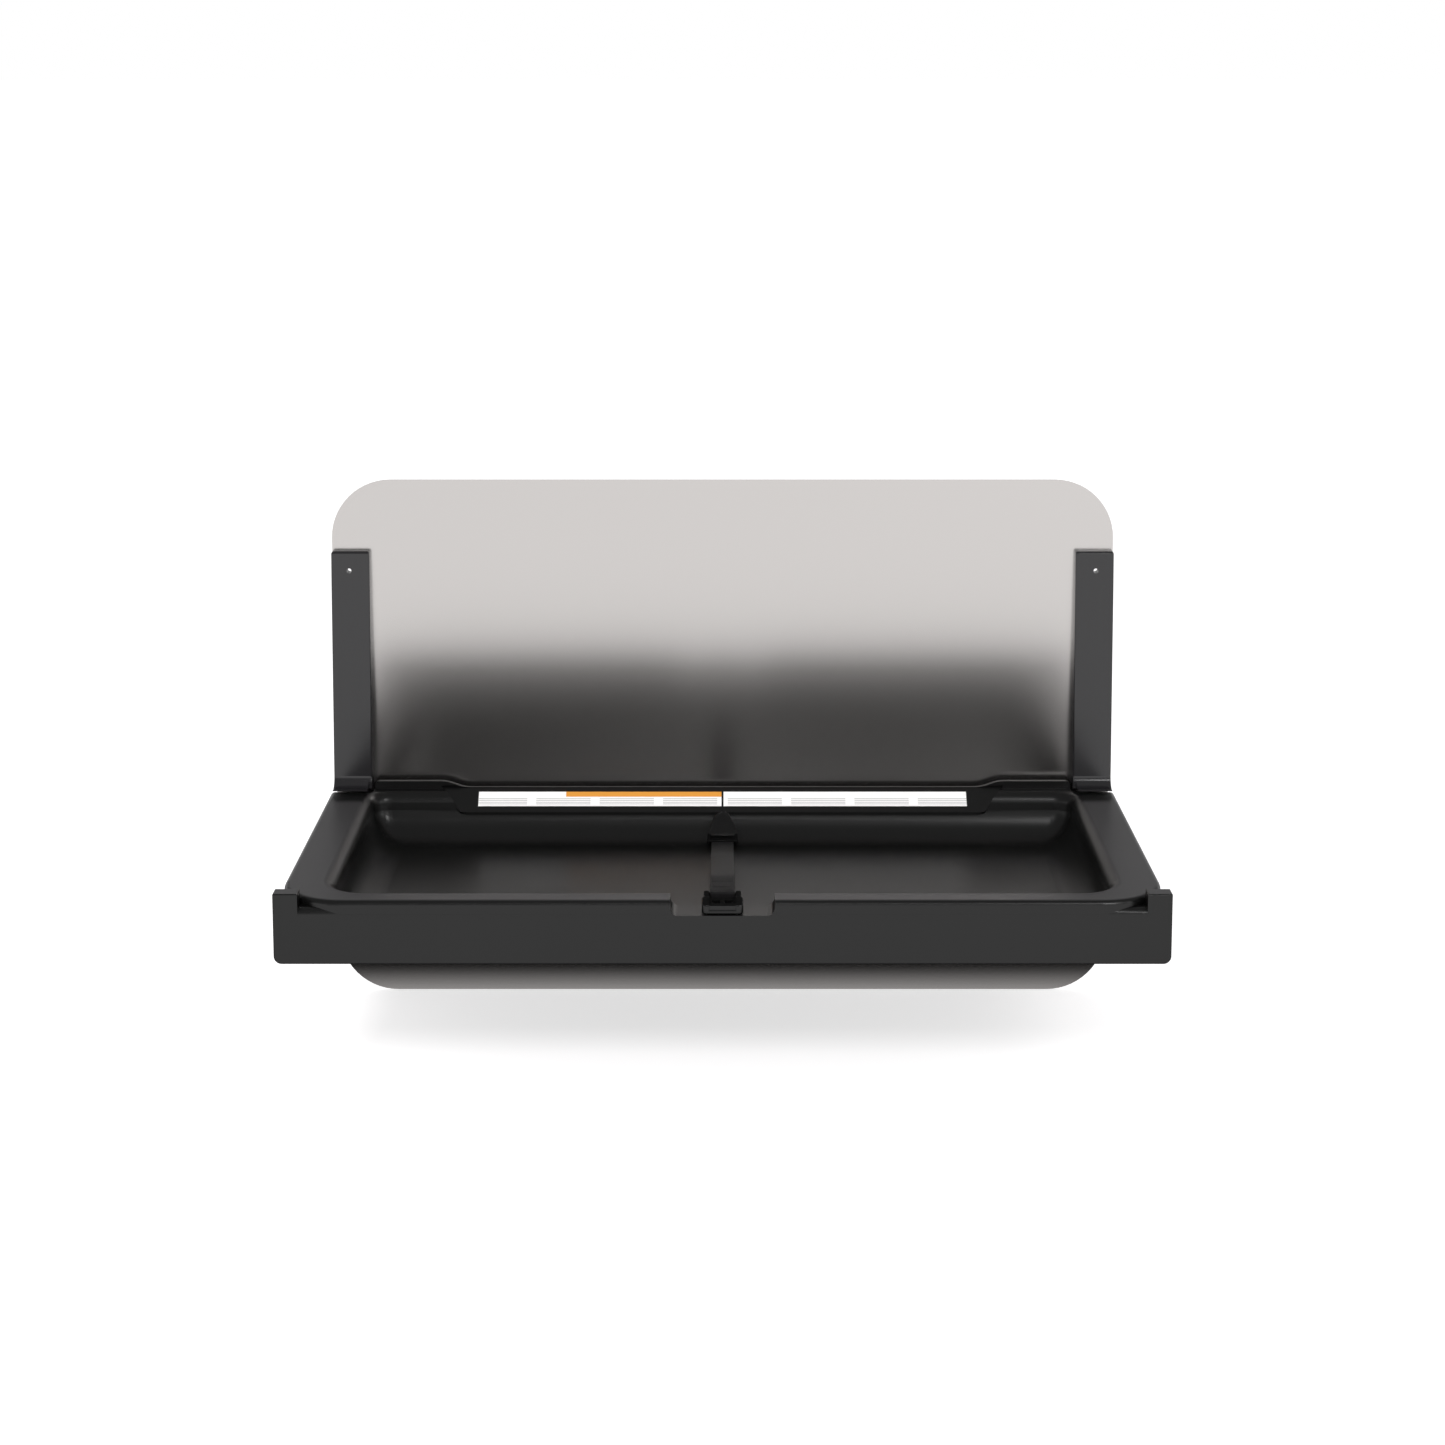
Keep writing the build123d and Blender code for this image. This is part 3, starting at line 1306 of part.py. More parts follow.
half_height = buckle_height / 2
bar_from_mouth = (housing_pocket_start + housing_pocket_end) / 2
with BuildPart() as buckle_housing:
    with BuildSketch(buckle_plane(-half_height)):
        Rectangle(buckle_width, housing_length, align=(Align.CENTER, Align.MAX))
    extrude(amount=buckle_height)
    fillet(buckle_housing.edges(), housing_round)
    with BuildSketch(buckle_plane(buckle_wall - half_height)):
        Rectangle(
            buckle_width - 2 * buckle_wall,
            2 * socket_length,
            align=(Align.CENTER, Align.CENTER),
        )
    extrude(amount=buckle_height - 2 * buckle_wall, mode=Mode.SUBTRACT)
    with BuildSketch(buckle_plane(-window_height / 2)):
        with Locations((0, -window_back)):
            Rectangle(buckle_width + cut_overrun, window_length, align=(Align.CENTER, Align.MAX))
    extrude(amount=window_height, mode=Mode.SUBTRACT)
    with BuildSketch(buckle_plane(-half_height)):
        with Locations((0, -housing_pocket_start)):
            Rectangle(
                2 * slot_half_width,
                housing_pocket_end - housing_pocket_start,
                align=(Align.CENTER, Align.MAX),
            )
    extrude(amount=half_height + housing_pocket_height, mode=Mode.SUBTRACT)
    with BuildSketch(Plane.YZ.offset(-slot_half_width)):
        with Locations(from_buckle(-bar_from_mouth, 0)):
            Circle(housing_bar_radius)
    extrude(amount=2 * slot_half_width)
buckle_housing.part.label = "buckle_housing"
export_step(buckle_housing.part, "parts/buckle_housing.step")

with BuildPart() as buckle_tongue:
    with BuildSketch(buckle_plane(-tongue_frame_height / 2)):
        with Locations((0, tongue_mouth_gap)):
            Rectangle(
                2 * tongue_frame_half_width,
                tongue_frame_length - tongue_mouth_gap,
                align=(Align.CENTER, Align.MIN),
            )
    extrude(amount=tongue_frame_height)
    fillet(buckle_tongue.edges().filter_by(GeomType.LINE), tongue_mouth_gap * 2)
    with BuildSketch(buckle_plane(-tongue_frame_height / 2)):
        with Locations((0, tongue_frame_length - tongue_bar)):
            Rectangle(2 * slot_half_width, tongue_slot_length, align=(Align.CENTER, Align.MAX))
    extrude(amount=tongue_frame_height, mode=Mode.SUBTRACT)
    with BuildSketch(buckle_plane(-prong_height / 2)):
        for side in (-1, 1):
            with Locations((side * prong_from_centre, 2 * tongue_mouth_gap)):
                Rectangle(prong_width, prong_length, align=(Align.CENTER, Align.MAX))
            with Locations((side * prong_from_centre, 2 * tongue_mouth_gap - prong_length)):
                Rectangle(
                    prong_width + 2 * barb_reach,
                    barb_length,
                    align=(Align.CENTER, Align.MIN),
                )
        with Locations((0, 2 * tongue_mouth_gap)):
            Rectangle(guide_bar_width, guide_bar_length, align=(Align.CENTER, Align.MAX))
    extrude(amount=prong_height)
buckle_tongue.part.label = "buckle_tongue"
export_step(buckle_tongue.part, "parts/buckle_tongue.step")

# Strap: out of the hood, down to the tongue, round its bar and back under itself
half_web = webbing_thickness / 2
over_rise = tongue_frame_height / 2 + soft_clearance + half_web
slot_back = tongue_frame_length - tongue_bar - soft_clearance - half_web
tail_rise = over_rise - webbing_thickness - strap_tail_gap
tail_start = tongue_frame_length + soft_clearance + half_web
tail_join = tail_start + over_rise + tail_rise
with BuildPart() as strap:
    with BuildSketch(Plane.YZ.offset(-webbing_width / 2)):
        with BuildLine() as strap_path:
            mouth_point = (-hood_nose_from_wall, rim_z - strap_exit_drop)
            tongue_point = from_buckle(tongue_frame_length + strap_tail_length, over_rise)
            bend_point = from_buckle(tongue_frame_length + strap_tail_length + strap_bend_length, over_rise)
            run_length = hypot(bend_point[0] - mouth_point[0], bend_point[1] - mouth_point[1])
            run_y = (bend_point[0] - mouth_point[0]) / run_length
            run_z = (bend_point[1] - mouth_point[1]) / run_length
            run_end = (bend_point[0] - strap_bend_length * run_y, bend_point[1] - strap_bend_length * run_z)
            sag_point = ((mouth_point[0] + run_end[0]) / 2, (mouth_point[1] + run_end[1]) / 2 - strap_sag)
            Line((-strap_start_from_wall, rim_z - strap_start_drop), mouth_point)
            Spline(mouth_point, sag_point, run_end, tangents=((-1, -mouth_slope), (run_y, run_z)))
            Spline(run_end, tongue_point, tangents=((run_y, run_z), (-tilt_cosine, -tilt_sine)))
            Line(tongue_point, from_buckle(slot_back, over_rise))
            Line(from_buckle(slot_back, over_rise), from_buckle(slot_back, -over_rise))
            Line(from_buckle(slot_back, -over_rise), from_buckle(tail_start, -over_rise))
            Line(from_buckle(tail_start, -over_rise), from_buckle(tail_join, tail_rise))
            tail_end = from_buckle(tongue_frame_length + strap_tail_length, tail_rise)
            Line(from_buckle(tail_join, tail_rise), tail_end)
        trace(line_width=webbing_thickness)
    extrude(amount=webbing_width)
strap.part.label = "strap"
export_step(strap.part, "parts/strap.step")

# Short webbing that ties the buckle's housing to the front beam
loop_radius = housing_bar_radius + fit_clearance + half_web
leg_top = from_buckle(loop_radius - bar_from_mouth, 0)
turn_point = (anchor_face - half_web, rim_z - anchor_strap_turn_drop)
with BuildPart() as buckle_webbing:
    with BuildSketch(Plane.YZ.offset(-webbing_width / 2)):
        with BuildLine():
            Line(leg_top, (leg_top[0], rim_z - notch_depth - tray_wall))
            Line((leg_top[0], rim_z - notch_depth - tray_wall), turn_point)
            Line(turn_point, (turn_point[0], rim_z - anchor_strap_foot_drop))
        trace(line_width=webbing_thickness)
        with Locations(from_buckle(-bar_from_mouth, 0)):
            Circle(loop_radius + half_web)
            Circle(loop_radius - half_web, mode=Mode.SUBTRACT)
    extrude(amount=webbing_width)
buckle_webbing.part.label = "buckle_webbing"
export_step(buckle_webbing.part, "parts/buckle_webbing.step")

with BuildPart() as anchor_plate:
    with BuildSketch(Plane.XZ.offset(webbing_thickness - anchor_face)):
        with Locations((0, anchor_z)):
            Rectangle(anchor_plate_width, anchor_plate_height)
        with Locations((-anchor_screw_half_gap, anchor_z), (anchor_screw_half_gap, anchor_z)):
            Circle(anchor_screw_radius + fit_clearance, mode=Mode.SUBTRACT)
    extrude(amount=anchor_plate_thickness)
anchor_plate.part.label = "anchor_plate"
export_step(anchor_plate.part, "parts/anchor_plate.step")

with BuildPart() as anchor_screws:
    for side in (-1, 1):
        head_seat = anchor_face - webbing_thickness - anchor_plate_thickness
        with Locations(Plane((side * anchor_screw_half_gap, head_seat, anchor_z), z_dir=(0, 1, 0))):
            Cylinder(
                anchor_screw_radius, anchor_screw_length, align=(Align.CENTER, Align.CENTER, Align.MIN)
            )
            Cylinder(
                anchor_screw_head_radius,
                anchor_screw_head_height,
                align=(Align.CENTER, Align.CENTER, Align.MAX),
            )
anchor_screws.part.label = "anchor_screws"
export_step(anchor_screws.part, "parts/anchor_screws.step")
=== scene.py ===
import math

import bmesh
import bpy
from bpy.props import FloatProperty, PointerProperty, StringProperty
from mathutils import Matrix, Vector
from mathutils.geometry import interpolate_bezier


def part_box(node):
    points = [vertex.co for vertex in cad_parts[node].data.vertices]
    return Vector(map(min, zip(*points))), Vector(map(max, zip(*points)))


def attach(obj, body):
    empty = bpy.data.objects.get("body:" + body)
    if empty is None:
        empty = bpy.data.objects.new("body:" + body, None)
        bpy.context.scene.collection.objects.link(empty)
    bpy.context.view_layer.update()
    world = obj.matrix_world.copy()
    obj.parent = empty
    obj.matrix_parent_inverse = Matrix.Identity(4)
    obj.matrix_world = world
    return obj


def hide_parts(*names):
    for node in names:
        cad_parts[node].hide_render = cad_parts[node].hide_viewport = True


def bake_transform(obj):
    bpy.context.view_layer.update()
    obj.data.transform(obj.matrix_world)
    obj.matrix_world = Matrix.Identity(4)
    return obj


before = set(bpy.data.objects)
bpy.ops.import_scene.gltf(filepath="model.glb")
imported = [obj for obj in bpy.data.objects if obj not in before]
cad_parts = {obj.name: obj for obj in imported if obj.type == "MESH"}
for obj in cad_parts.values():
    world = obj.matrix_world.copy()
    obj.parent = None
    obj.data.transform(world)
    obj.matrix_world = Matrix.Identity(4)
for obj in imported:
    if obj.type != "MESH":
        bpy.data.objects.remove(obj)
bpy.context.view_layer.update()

bl_info = {
    "name": "Changing station dressing",
    "version": (1, 0, 0),
    "blender": (4, 5, 0),
    "location": "View3D > Sidebar > Changing station",
    "description": "Finishes, soft parts and stage of a fold-down baby changing station",
    "category": "Object",
}

# Corners of CAD nodes, in metres like all sizes here
PLATE_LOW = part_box("wall_plate")[0]
HOOD_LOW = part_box("strap_guide")[0]
LABEL_LOW, LABEL_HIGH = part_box("label_right")

# Places of the CAD part that no box gives: the height of the bed's flat rim, the rim's rear end,
# and the middle of the buckle's mouth as (y, z)
RIM = -0.056
RIM_REAR = -0.062
BUCKLE_MOUTH = (-0.401, -0.06404)

# Edges that turn by more than this are rounded
CREASE = math.radians(50)


class StageSettings(bpy.types.PropertyGroup):
    """Camera, lamps and floor."""

    camera_distance: FloatProperty(
        name="Distance", description="Camera's distance from the wall", default=3.060, unit="LENGTH"
    )
    camera_height: FloatProperty(
        name="Height", description="Camera's height above the plate's centre", default=0.804, unit="LENGTH"
    )
    camera_pitch: FloatProperty(
        name="Pitch",
        description="How far the camera looks down",
        default=math.radians(8.37),
        subtype="ANGLE",
        unit="ROTATION",
    )
    camera_lens: FloatProperty(
        name="Lens", description="Focal length on a 36 mm wide sensor, in millimetres", default=68.05
    )
    camera_shift: FloatProperty(
        name="Vertical shift", description="Share of the frame that the lens is shifted down", default=-0.20
    )
    surround: FloatProperty(
        name="Surround light", description="Strength of the even light from all round", default=0.75
    )
    overhead: FloatProperty(
        name="Overhead share", description="Share of white that mirrors see overhead", default=0.22
    )
    key_light: FloatProperty(
        name="Left lamp", description="Power of the soft lamp at the front left, in watts", default=40.0
    )
    fill_light: FloatProperty(
        name="Right lamp", description="Power of the soft lamp at the front right, in watts", default=14.0
    )
    glint: FloatProperty(
        name="Right glint", description="Power of the lamp that only mirrors see, in watts", default=1.5
    )
    front_light: FloatProperty(
        name="Front lamp", description="Power of the small lamp above the camera, in watts", default=2.5
    )
    floor_colour: StringProperty(
        name="Floor", description="Colour of the floor, as sRGB hex", default="#DAD8D9"
    )
    floor_glow: FloatProperty(
        name="Floor lift", description="Share of white that the camera sees added to the floor", default=0.66
    )


class FinishSettings(bpy.types.PropertyGroup):
    """Colours of the station's materials, as sRGB hex."""

    steel: StringProperty(name="Steel", description="Satin stainless steel", default="#DAD6D4")
    bed: StringProperty(name="Bed", description="Moulded bed plastic", default="#0A0A0A")
    # Painted light: the rim's level top gets this greyer colour in place of the bed's own black
    rim: StringProperty(name="Rim", description="Coarser flat top of the bed's rim", default="#393839")
    arms: StringProperty(name="Arms", description="Moulded arm plastic", default="#1B1A1C")
    gloss: StringProperty(name="Hood", description="Polished plastic of the strap's hood", default="#080808")
    buckle: StringProperty(name="Buckle", description="Moulded buckle plastic", default="#0C0C0C")
    webbing: StringProperty(name="Webbing", description="Woven strap", default="#121112")
    label: StringProperty(name="Label", description="Label film", default="#F8F7F6")
    band: StringProperty(name="Band", description="Band along the left label", default="#E3993A")


class StrapSettings(bpy.types.PropertyGroup):
    """Webbing of the strap."""

    width: FloatProperty(name="Width", description="Width of the webbing", default=0.025, unit="LENGTH")
    thickness: FloatProperty(
        name="Thickness", description="Thickness of the webbing", default=0.0015, unit="LENGTH"
    )
    sag: FloatProperty(
        name="Sag", description="How far the strap hangs at its middle", default=0.001, unit="LENGTH"
    )
    stitch: FloatProperty(name="Stitch", description="Length of one stitch", default=0.0024, unit="LENGTH")


class BuckleSettings(bpy.types.PropertyGroup):
    """Side-release buckle."""

    tilt: FloatProperty(
        name="Tilt",
        description="Slope of the buckle along the strap",
        default=math.radians(4.0),
        subtype="ANGLE",
        unit="ROTATION",
    )
    width: FloatProperty(name="Width", description="Width of the buckle", default=0.042, unit="LENGTH")
    height: FloatProperty(name="Height", description="Thickness of the buckle", default=0.011, unit="LENGTH")
    rounding: FloatProperty(
        name="Rounding", description="Radius of the buckle's edges", default=0.0024, unit="LENGTH"
    )


def linear(code):
    """The linear colour, with alpha, of an sRGB hex value."""
    shares = [int(code[i : i + 2], 16) / 255 for i in (1, 3, 5)]
    return tuple(s / 12.92 if s <= 0.04045 else ((s + 0.055) / 1.055) ** 2.4 for s in shares) + (1.0,)


def add_node(tree, kind, links=None, **settings):
    """A node with its settings, and its inputs set to values or linked to other nodes' sockets."""
    node = tree.nodes.new(kind)
    for name, value in settings.items():
        setattr(node, name, value)
    for socket, source in (links or {}).items():
        if isinstance(source, bpy.types.NodeSocket):
            tree.links.new(source, node.inputs[socket])
        else:
            node.inputs[socket].default_value = source
    return node


def new_material(name):
    """An empty node material and its tree, with the output node in place."""
    material = bpy.data.materials.new(name)
    material.use_nodes = True
    tree = material.node_tree
    tree.nodes.clear()
    return material, tree, add_node(tree, "ShaderNodeOutputMaterial")


def clear_selection():
    """Leaves edit mode with nothing selected."""
    if bpy.context.object and bpy.context.object.mode != "OBJECT":
        bpy.ops.object.mode_set(mode="OBJECT")
    bpy.ops.object.select_all(action="DESELECT")


def wear(node, material):
    """Gives a CAD node its material."""
    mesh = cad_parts[node].data
    mesh.materials.clear()
    mesh.materials.append(material)


def settle(piece, name, body, material, smooth=40):
    """Puts a finished piece at the origin, names and shades it, and lets it ride on any body given."""
    clear_selection()
    piece.select_set(True)
    bpy.context.view_layer.objects.active = piece
    bpy.ops.object.transform_apply(location=True, rotation=True, scale=True)
    bpy.ops.object.shade_smooth_by_angle(angle=math.radians(smooth))
    piece.name = name
    piece.data.name = name
    piece.data.materials.clear()
    piece.data.materials.append(material)
    if body:
        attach(piece, body)
    return piece


def apply_modifier(piece, kind, **settings):
    """Adds a modifier to a piece and applies it."""
    clear_selection()
    piece.select_set(True)
    bpy.context.view_layer.objects.active = piece
    modifier = piece.modifiers.new(kind.title(), kind)
    for name, value in settings.items():
        setattr(modifier, name, value)
    bpy.ops.object.modifier_apply(modifier=modifier.name)


def block(centre, size, turn=0.0):
    """A box of that centre and size, turned about X, left active in object mode."""
    clear_selection()
    bpy.ops.mesh.primitive_cube_add(size=1, location=centre, rotation=(turn, 0, 0))
    piece = bpy.context.object
    piece.scale = size
    bpy.ops.object.transform_apply(location=False, rotation=False, scale=True)
    return piece


def pick(piece, chosen, kind="FACE"):
    """Enters edit mode on a piece with only the chosen faces, edges or vertices selected."""
    bpy.context.view_layer.objects.active = piece
    bpy.ops.object.mode_set(mode="EDIT")
    bpy.ops.mesh.select_mode(type=kind)
    bpy.ops.mesh.select_all(action="DESELECT")
    mesh = bmesh.from_edit_mesh(piece.data)
    parts = {"FACE": mesh.faces, "EDGE": mesh.edges, "VERT": mesh.verts}[kind]
    for part in parts:
        if chosen(part):
            part.select_set(True)
    mesh.select_flush_mode()
    bmesh.update_edit_mesh(piece.data)


def cut_away(piece, cutter):
    """Cuts one piece's volume out of another and deletes the cutter."""
    apply_modifier(piece, "BOOLEAN", operation="DIFFERENCE", object=cutter, solver="EXACT")
    bpy.data.objects.remove(cutter)


def join(pieces):
    """Joins pieces into the first one."""
    clear_selection()
    for piece in pieces:
        piece.select_set(True)
    bpy.context.view_layer.objects.active = pieces[0]
    bpy.ops.object.join()
    return pieces[0]


# The steel sheet's bow: the heights that it runs between, and its lean at the lower one
BOW_LOW = 0.08
BOW_HIGH = 0.29
BOW_LEAN = -0.069


def satin_stainless(name, colour, roughness):
    """Stainless steel sheet, finished with a fine satin grain."""
    # The grain is far finer than a pixel, so the eye gets only a soft, slightly lively blur of what
    # stands in front of the sheet, and a warm grey where it mirrors the white room. The sheet bows
    # by a few degrees, so that the bed's dark mirror image reaches further up it.
    material, tree, output = new_material(name)
    place = add_node(tree, "ShaderNodeTexCoord")
    stretched = add_node(
        tree,
        "ShaderNodeMapping",
        {"Vector": place.outputs["Object"], "Scale": (1 / 0.006, 1 / 0.02, 1 / 0.0012)},
    )
    grain = add_node(
        tree, "ShaderNodeTexNoise", {"Vector": stretched.outputs["Vector"], "Scale": 1.0, "Detail": 2.0}
    )
    blur = add_node(
        tree,
        "ShaderNodeMapRange",
        {"Value": grain.outputs["Fac"], "To Min": roughness - 0.02, "To Max": roughness + 0.02},
    )
    axes = add_node(tree, "ShaderNodeSeparateXYZ", {"Vector": place.outputs["Object"]})
    bow = add_node(
        tree,
        "ShaderNodeMapRange",
        {
            "Value": axes.outputs["Z"],
            "From Min": BOW_LOW,
            "From Max": BOW_HIGH,
            "To Min": BOW_LEAN,
            "To Max": 0.0,
        },
    )
    lean = add_node(tree, "ShaderNodeCombineXYZ", {"Z": bow.outputs["Result"]})
    face = add_node(tree, "ShaderNodeNewGeometry")
    bowed = add_node(
        tree, "ShaderNodeVectorMath", {0: face.outputs["Normal"], 1: lean.outputs["Vector"]}, operation="ADD"
    )
    unit = add_node(tree, "ShaderNodeVectorMath", {0: bowed.outputs["Vector"]}, operation="NORMALIZE")
    bump = add_node(
        tree,
        "ShaderNodeBump",
        {
            "Height": grain.outputs["Fac"],
            "Strength": 0.04,
            "Distance": 0.0001,
            "Normal": unit.outputs["Vector"],
        },
    )
    shader = add_node(
        tree,
        "ShaderNodeBsdfPrincipled",
        {
            "Base Color": linear(colour),
            "Metallic": 1.0,
            "Roughness": blur.outputs["Result"],
            "Normal": bump.outputs["Normal"],
        },
    )
    tree.links.new(shader.outputs["BSDF"], output.inputs["Surface"])
    return material


# The grain of the moulded ABS, drawn coarser than the real 0.2 mm so that it shows from the camera
GRAIN_SIZE = 0.0009
GRAIN_DEPTH = 0.00003

# The mask of the rim's flat top, where a coarser grain and a colour of painted light go: how far
# below the rim it starts and is full, the length that it fades in over, and how level a face has to lie
RIM_MASK_LOW = 0.0012
RIM_MASK_FULL = 0.0004
RIM_MASK_FADE = 0.015
RIM_MASK_LEVEL = (0.88, 0.99)


def textured_abs(name, colour, roughness, shine=1.5, rim_painted_light_colour=None):
    """ABS, injection moulded in a spark-eroded tool that leaves a fine grain."""
    # The grain breaks highlights into a soft bloom with tiny sparkles.
    material, tree, output = new_material(name)
    place = add_node(tree, "ShaderNodeTexCoord")
    grain = add_node(
        tree,
        "ShaderNodeTexNoise",
        {"Vector": place.outputs["Object"], "Scale": 1 / GRAIN_SIZE, "Detail": 3.0, "Roughness": 0.6},
    )
    patches = add_node(
        tree, "ShaderNodeTexNoise", {"Vector": place.outputs["Object"], "Scale": 1 / 0.12, "Detail": 2.0}
    )
    shade = linear(colour)
    tint = add_node(
        tree,
        "ShaderNodeMix",
        {
            "Factor": grain.outputs["Fac"],
            "A": tuple(s * 0.8 for s in shade[:3]) + (1.0,),
            "B": tuple(s * 1.2 for s in shade[:3]) + (1.0,),
        },
        data_type="RGBA",
    )
    blur = add_node(
        tree,
        "ShaderNodeMapRange",
        {"Value": patches.outputs["Fac"], "To Min": roughness - 0.03, "To Max": roughness + 0.03},
    )
    bump = add_node(
        tree, "ShaderNodeBump", {"Height": grain.outputs["Fac"], "Strength": 0.35, "Distance": GRAIN_DEPTH}
    )
    shown, softness = tint.outputs["Result"], blur.outputs["Result"]
    if rim_painted_light_colour:
        # The rim's flat top has a coarser grain than the basin, which makes it duller. Its greyer colour
        # is painted light, standing for the room's light that falls on the level top.
        axes = add_node(tree, "ShaderNodeSeparateXYZ", {"Vector": place.outputs["Object"]})
        facing = add_node(tree, "ShaderNodeSeparateXYZ", {"Vector": place.outputs["Normal"]})
        masks = (
            (axes.outputs["Z"], RIM - RIM_MASK_LOW, RIM - RIM_MASK_FULL),
            (facing.outputs["Z"], *RIM_MASK_LEVEL),
            (axes.outputs["Y"], RIM_REAR, RIM_REAR - RIM_MASK_FADE),
        )
        shares = []
        for value, none, full in masks:
            mask = add_node(
                tree, "ShaderNodeMapRange", {"Value": value, "From Min": none, "From Max": full}
            )
            shares.append(mask.outputs["Result"])
        on_rim = shares[0]
        for share in shares[1:]:
            on_rim = add_node(tree, "ShaderNodeMath", {0: on_rim, 1: share}, operation="MULTIPLY").outputs[0]
        mixed = add_node(
            tree,
            "ShaderNodeMix",
            {"Factor": on_rim, "A": shown, "B": linear(rim_painted_light_colour)},
            data_type="RGBA",
        )
        rougher = add_node(
            tree, "ShaderNodeMath", {0: on_rim, 1: 0.10, 2: softness}, operation="MULTIPLY_ADD"
        )
        shown, softness = mixed.outputs["Result"], rougher.outputs[0]
    shader = add_node(
        tree,
        "ShaderNodeBsdfPrincipled",
        {"Base Color": shown, "Roughness": softness, "IOR": shine, "Normal": bump.outputs["Normal"]},
    )
    tree.links.new(shader.outputs["BSDF"], output.inputs["Surface"])
    return material


def polished_acetal(name, colour, roughness):
    """Acetal, moulded in a polished tool."""
    # Smooth and slightly waxy: tight highlights that a faint unevenness of the surface bends.
    material, tree, output = new_material(name)
    place = add_node(tree, "ShaderNodeTexCoord")
    waves = add_node(
        tree, "ShaderNodeTexNoise", {"Vector": place.outputs["Object"], "Scale": 1 / 0.008, "Detail": 2.0}
    )
    blur = add_node(
        tree,
        "ShaderNodeMapRange",
        {"Value": waves.outputs["Fac"], "To Min": roughness - 0.04, "To Max": roughness + 0.04},
    )
    bump = add_node(
        tree, "ShaderNodeBump", {"Height": waves.outputs["Fac"], "Strength": 0.15, "Distance": 0.0002}
    )
    shader = add_node(
        tree,
        "ShaderNodeBsdfPrincipled",
        {
            "Base Color": linear(colour),
            "Roughness": blur.outputs["Result"],
            "IOR": 1.48,
            "Normal": bump.outputs["Normal"],
        },
    )
    tree.links.new(shader.outputs["BSDF"], output.inputs["Surface"])
    return material


def grained_acetal(name, colour):
    """Acetal, moulded against the etched half of its tool."""
    # Dead matt: it mirrors nearly nothing, so the buckle's top stays darker than its polished front.
    material, tree, output = new_material(name)
    place = add_node(tree, "ShaderNodeTexCoord")
    grit = add_node(
        tree, "ShaderNodeTexNoise", {"Vector": place.outputs["Object"], "Scale": 1 / 0.0007, "Detail": 2.0}
    )
    blur = add_node(
        tree, "ShaderNodeMapRange", {"Value": grit.outputs["Fac"], "To Min": 0.75, "To Max": 0.95}
    )
    bump = add_node(
        tree, "ShaderNodeBump", {"Height": grit.outputs["Fac"], "Strength": 0.4, "Distance": 0.00005}
    )
    shader = add_node(
        tree,
        "ShaderNodeBsdfPrincipled",
        {
            "Base Color": linear(colour),
            "Roughness": blur.outputs["Result"],
            "Specular IOR Level": 0.08,
            "Normal": bump.outputs["Normal"],
        },
    )
    tree.links.new(shader.outputs["BSDF"], output.inputs["Surface"])
    return material


# Spacing of the webbing's ribs, which run across it, and of its warp threads, which run along it
RIB_PITCH = 0.0013
WARP_PITCH = 0.0009


def woven_polyester(name, colour):
    """Polyester webbing, woven in a narrow loom."""
    # The filaments catch the light a little along their length, which gives the strap its grey
    # bloom. A wave texture of scale 1 has its bands pi / 10 apart.
    material, tree, output = new_material(name)
    place = add_node(tree, "ShaderNodeTexCoord")
    ribs = add_node(
        tree,
        "ShaderNodeTexWave",
        {"Vector": place.outputs["UV"], "Scale": math.pi / 10 / RIB_PITCH, "Distortion": 0.4, "Detail": 1.0},
        bands_direction="Y",
    )
    warp = add_node(
        tree,
        "ShaderNodeTexWave",
        {"Vector": place.outputs["UV"], "Scale": math.pi / 10 / WARP_PITCH, "Distortion": 0.3, "Detail": 1.0},
        bands_direction="X",
    )
    weave = add_node(
        tree, "ShaderNodeMath", {0: ribs.outputs["Fac"], 1: warp.outputs["Fac"]}, operation="MULTIPLY"
    )
    fuzz = add_node(
        tree, "ShaderNodeTexNoise", {"Vector": place.outputs["Object"], "Scale": 1 / 0.0025, "Detail": 4.0}
    )
    shade = linear(colour)
    mixed = add_node(tree, "ShaderNodeMath", {0: weave.outputs[0], 1: fuzz.outputs["Fac"]}, operation="ADD")
    tone = add_node(
        tree,
        "ShaderNodeMix",
        {
            "Factor": mixed.outputs[0],
            "A": tuple(s * 0.55 for s in shade[:3]) + (1.0,),
            "B": tuple(s * 1.5 for s in shade[:3]) + (1.0,),
        },
        data_type="RGBA",
    )
    bump = add_node(tree, "ShaderNodeBump", {"Height": weave.outputs[0], "Strength": 0.6, "Distance": 0.0003})
    shader = add_node(
        tree,
        "ShaderNodeBsdfPrincipled",
        {
            "Base Color": tone.outputs["Result"],
            "Roughness": 0.55,
            "Specular IOR Level": 0.22,
            "Sheen Weight": 0.02,
            "Sheen Roughness": 0.4,
            "Normal": bump.outputs["Normal"],
        },
    )
    tree.links.new(shader.outputs["BSDF"], output.inputs["Surface"])
    return material


# The labels' print: the columns' spacing, and the middle and half width of the rules in a column
COLUMN_PITCH = 0.0725
COLUMN_MIDDLE = 0.037
RULE_HALF_LENGTH = 0.031

# Lower and upper edge of each rule, and lower edge of the band, as shares of the label's height
RULES = ((0.50, 0.545), (0.38, 0.42), (0.27, 0.31), (0.16, 0.20))
BAND_EDGE = 0.66

# Left end of the band on the left label
BAND_LEFT = -0.1792


